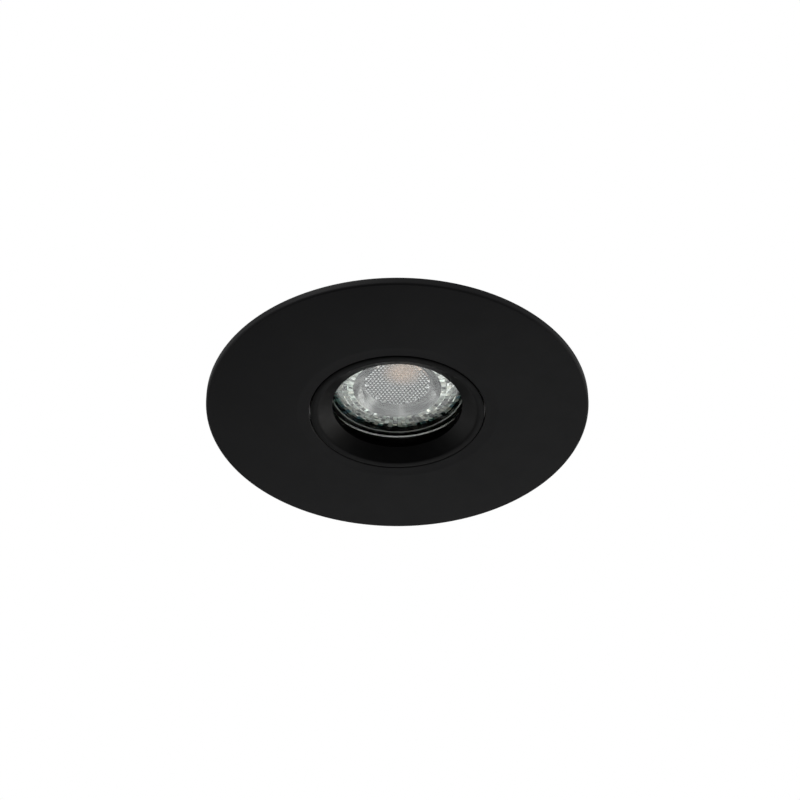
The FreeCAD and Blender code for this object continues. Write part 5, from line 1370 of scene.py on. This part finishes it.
@dataclass
class TerminalBox:
    """The box on the can's roof: its two grommets, its leads and its polished shells."""

    entry_x: float = 22.7
    entry_level: float = 108.0
    gland_x: float = -15.5
    gland_level: float = 97.0
    block_start: float = -4.0
    lead: float = 0.9
    ring: float = 1.25
    holder_top: float = 77.0
    gather: float = 89.0
    roof: float = 98.0

    def bush(self, bore: float, neck: float, flange: float, lip: float, wall: float) -> BMesh:
        """A grommet with rounded lips about the Z axis.

        Args:
            bore: its bore.
            neck: its radius in the wall.
            flange: its lips' radius.
            lip: its lips' height.
            wall: the wall's thickness.

        Returns:
            The mesh.
        """
        edge, nick, bevel = 0.5, 0.15, 0.3
        first = [
            (bore, bevel - lip), (bore + bevel, -lip), (flange - edge, -lip), (flange - nick, nick - lip),
            (flange, edge - lip), (flange, 0), (neck, 0),
        ]
        return turned(first + [(r, wall - z) for r, z in reversed(first)], COARSE)

    def grommets(self) -> None:
        """Make the cable's and the leads' grommets."""
        bm = self.bush(3.9, 5.2, 6.8, 1.0, 1.8)
        rolled(bm, 90, "Y")
        moved(bm, (self.entry_x, 0, self.entry_level))
        finished(bm, "cable_bush", [BLACK_RUBBER], "housing", "cable_grommet")
        bm = self.bush(2.7, 4.4, 6.0, 1.0, 2.8)
        moved(bm, (self.gland_x, 0, self.gland_level))
        finished(bm, "lead_bush", [BLACK_RUBBER], "housing", "lead_grommet")

    def leads(self) -> None:
        """Make the two power leads and the earth lead along their routes."""
        high, end = self.entry_level, self.block_start + 4.5
        for name, side, turn, finish in (("live", 1, 6.0, LIVE), ("neutral", -1, 3.5, NEUTRAL)):
            x = self.gland_x + self.ring / 2
            y = side * self.ring * math.cos(math.pi / 6)
            route = [(side * 5.0, 0, self.holder_top + rise) for rise in (-7, -1, turn)]
            route += [(x, y, level) for level in (self.gather, self.roof, high)]
            route += [(self.block_start - 1.5, side * 8.0, high), (end, side * 8.0, high)]
            self.wire(route, name, finish)
        x = self.gland_x - self.ring
        route = [(x, 0, 79.5), (x, 0, 97.0), (x, 0, high), (x + 8, 0, high), (end, 0, high)]
        self.wire(route, "earth", EARTH)

    def wire(self, route: list[Three], name: str, finish: Sleeve) -> None:
        """Make one lead along its route."""
        bm = tube([Vector(point) for point in route], self.lead, True, 4)
        finished(bm, name + "_wire", [finish], "housing", name + "_lead")

    def build(self) -> None:
        """Make all of the box."""
        polished("terminal_base", "housing", BOX_PLASTIC, 0.25)
        polished("terminal_lid", "lid", BOX_PLASTIC, 0.3)
        polished("terminal_block", "housing", BLOCK_PLASTIC, 0.15)
        polished("cord_clamp", "housing", BLOCK_PLASTIC, 0.3)
        self.grommets()
        self.leads()


@dataclass
class Inside:
    """The pieces whose CAD shape stays and only takes a finish."""

    softened: dict[str, tuple[str, Dressing, float]] = field(
        default_factory=lambda: {
            "lock_collar": ("housing", CAST_METAL, 0.2),
            "holder_bracket": ("housing", ZINC, 0.2),
            "lampholder": ("housing", CERAMIC, 0.25),
            "lamp_base": ("lamp", LAMP_BASE, 0.3),
            "lamp_pins": ("lamp", NICKEL, 0.25),
            "terminal_barrels": ("housing", BRASS, 0.2),
            "terminal_screws": ("housing", STEEL, 0.15),
            "clamp_screws": ("housing", STEEL, 0.25),
            "box_screws": ("housing", STEEL, 0.25),
            "holder_screws": ("housing", STEEL, 0.25),
            "lid_pin": ("housing", STEEL, 0.15),
        }
    )
    kept: dict[str, Dressing] = field(
        default_factory=lambda: {
            "lamp_board": BOARD,
            "lamp_driver": DRIVER,
            "holder_contacts": BRASS,
            "roof_nuts": STEEL,
            "earth_tag": TIN,
            "earth_screw": STEEL,
            "earth_nut": STEEL,
        }
    )

    def build(self) -> None:
        """Soften some nodes' edges and give the others their finish."""
        for node, (body, finish, width) in self.softened.items():
            polished(node, body, finish, width)
        for node, finish in self.kept.items():
            piece = bpy.data.objects[node]
            piece.data.materials.clear()
            piece.data.materials.append(finish.material())
            log.info("%s keeps its shape", node)


# ---------------------------------------------------------------- light, ground and camera


@dataclass
class Studio:
    """The camera, the softboxes, the pale floor and the soffit."""

    distance: float = 0.797
    elevation: float = 39.32
    lens: float = 97.9
    shift: tuple[float, float] = (0.0034, 0.0171)
    target: float = -0.0033
    fade: tuple[float, float] = (0.12, 0.7)
    nadir: float = 0.04
    sky: float = 0.6
    inner: float = 1.15

    def camera(self) -> None:
        """Look up at the light as the photograph does."""
        data = bpy.data.cameras.new("camera")
        data.lens = self.lens
        data.shift_x, data.shift_y = self.shift
        data.clip_start, data.clip_end = 0.01, 20.0
        camera = bpy.data.objects.new("camera", data)
        angle = math.radians(self.elevation)
        away = Vector((0, -math.cos(angle), -math.sin(angle))) * self.distance
        camera.location = away + Vector((0, 0, self.target))
        camera.rotation_euler = (math.pi / 2 + angle, 0, 0)
        bpy.context.scene.collection.objects.link(camera)
        bpy.context.scene.camera = camera

    def softbox(self, name: str, spot: Three, size: tuple[float, float], radiance: float, colour: Colour) -> None:
        """Add a soft area lamp that faces the light.

        Args:
            name: its name.
            spot: where it stands, in metres.
            size: its width and height in metres.
            radiance: how bright its face is, where 1 is white.
            colour: its colour.
        """
        data = bpy.data.lights.new(name, "AREA")
        data.shape = "RECTANGLE"
        data.size, data.size_y = size
        data.energy = radiance * math.pi * size[0] * size[1]
        data.color = colour
        lamp = bpy.data.objects.new(name, data)
        lamp.location = spot
        lamp.rotation_euler = (-Vector(spot)).to_track_quat("-Z", "Y").to_euler()
        lamp.visible_camera = False
        bpy.context.scene.collection.objects.link(lamp)

    def world(self) -> None:
        """A white surround to the camera, and to the light a dome that darkens straight down."""
        world = bpy.data.worlds.new("surround")
        bpy.context.scene.world = world
        world.use_nodes = True
        nodes = Nodes(world.node_tree)
        nodes.tree.nodes.clear()
        split = nodes.add("SeparateXYZ", nodes.add("TexCoord").outputs["Generated"])
        ends = {"From_Min": -0.9, "From_Max": 0.0, "To_Min": self.nadir, "To_Max": self.sky}
        level = nodes.add("MapRange", split.outputs["Z"], **ends)
        path = nodes.add("LightPath").outputs
        through = nodes.add("Math", path["Is Transmission Ray"], operation="MULTIPLY_ADD")
        through.inputs[1].default_value = self.inner
        nodes.tree.links.new(level.outputs["Result"], through.inputs[2])
        soft = nodes.add("Background", Strength=through.outputs[0])
        white = nodes.add("Background", Color=WHITE)
        mix = nodes.add("MixShader", path["Is Camera Ray"], soft.outputs[0], white.outputs[0])
        nodes.add("OutputWorld", mix.outputs[0])

    def sheet(self, name: str, inner: float, level: float, facing: float) -> bpy.types.Object:
        """A wide flat ring that is seen from one side only.

        Args:
            name: its name.
            inner: the radius of its hole in metres.
            level: its height in metres.
            facing: 1 where it is seen from above, and -1 where it is seen from below.

        Returns:
            The sheet.
        """
        bm = bmesh.new()
        ring = [bm.verts.new((r, 0, level)) for r in (inner, 3.0)]
        spun(bm, [*ring, bm.edges.new(ring)], 128)
        bmesh.ops.recalc_face_normals(bm, faces=bm.faces)
        wrong = [f for f in bm.faces if f.normal.z * facing < 0]
        bmesh.ops.reverse_faces(bm, faces=wrong)
        mesh = bpy.data.meshes.new(name)
        bm.to_mesh(mesh)
        bm.free()
        sheet = bpy.data.objects.new(name, mesh)
        bpy.context.scene.collection.objects.link(sheet)
        return sheet

    def one_sided(self, sheet: bpy.types.Object, glow: float) -> None:
        """Dress a sheet so that only the camera sees it, and from its front only.

        Args:
            sheet: the sheet.
            glow: how much of its brightness is its own.
        """
        material = bpy.data.materials.new(sheet.name + "_ground")
        material.use_nodes = True
        nodes = Nodes(material.node_tree)
        nodes.tree.nodes.clear()
        seen = nodes.add("LightPath").outputs["Is Camera Ray"]
        behind = nodes.add("NewGeometry").outputs["Backfacing"]
        shown = nodes.add("Math", seen, behind, operation="SUBTRACT", use_clamp=True)
        pale = nodes.add("BsdfDiffuse", Color=(1 - glow,) * 3)
        own = nodes.add("Emission", Strength=glow)
        near = nodes.add("AddShader", pale.outputs[0], own.outputs[0])
        away = nodes.add("VectorMath", nodes.add("TexCoord").outputs["Object"], operation="LENGTH")
        ends = {"From_Min": self.fade[0], "From_Max": self.fade[1]}
        fade = nodes.add("MapRange", away.outputs["Value"], interpolation_type="SMOOTHSTEP", **ends)
        far = nodes.add("Emission")
        wide = nodes.add("MixShader", fade.outputs["Result"], near.outputs[0], far.outputs[0])
        clear = nodes.add("BsdfTransparent")
        mix = nodes.add("MixShader", shown.outputs[0], clear.outputs[0], wide.outputs[0])
        nodes.add("OutputMaterial", mix.outputs[0])
        sheet.data.materials.append(material)

    def build(self) -> None:
        """Set up the whole studio."""
        bpy.context.scene.view_settings.view_transform = "Standard"
        self.camera()
        self.world()
        self.one_sided(self.sheet("floor", 0.002, -0.0098, 1), 0.3)
        self.one_sided(self.sheet("soffit", 0.062, 0.0001, -1), 1.0)
        for name, spot, size, radiance, colour in (
            ("left_box", (-1.0, 0.45, -0.5), (0.9, 0.6), 1.15, WHITE),
            ("right_box", (1.0, 0.6, -0.45), (0.8, 0.6), 2.4, (1, 0.985, 0.96)),
            ("low_box", (0.15, 0.9, -0.9), (0.6, 0.5), 1.0, (0.97, 0.99, 1)),
            ("top_box", (-0.6, -0.7, 1.0), (0.8, 0.8), 2.4, WHITE),
        ):
            self.softbox(name, spot, size, radiance, colour)


def main() -> None:
    """Load the frame, dress every sub-assembly and set up the studio."""
    logging.basicConfig(level=logging.INFO, format="%(message)s")
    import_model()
    Studio().build()
    Plate().build()
    Bezel().build()
    Lamp().build()
    Can().build()
    Clip(1, "right").build()
    Clip(-1, "left").build()
    TerminalBox().build()
    Inside().build()


if __name__ == "__main__":
    main()
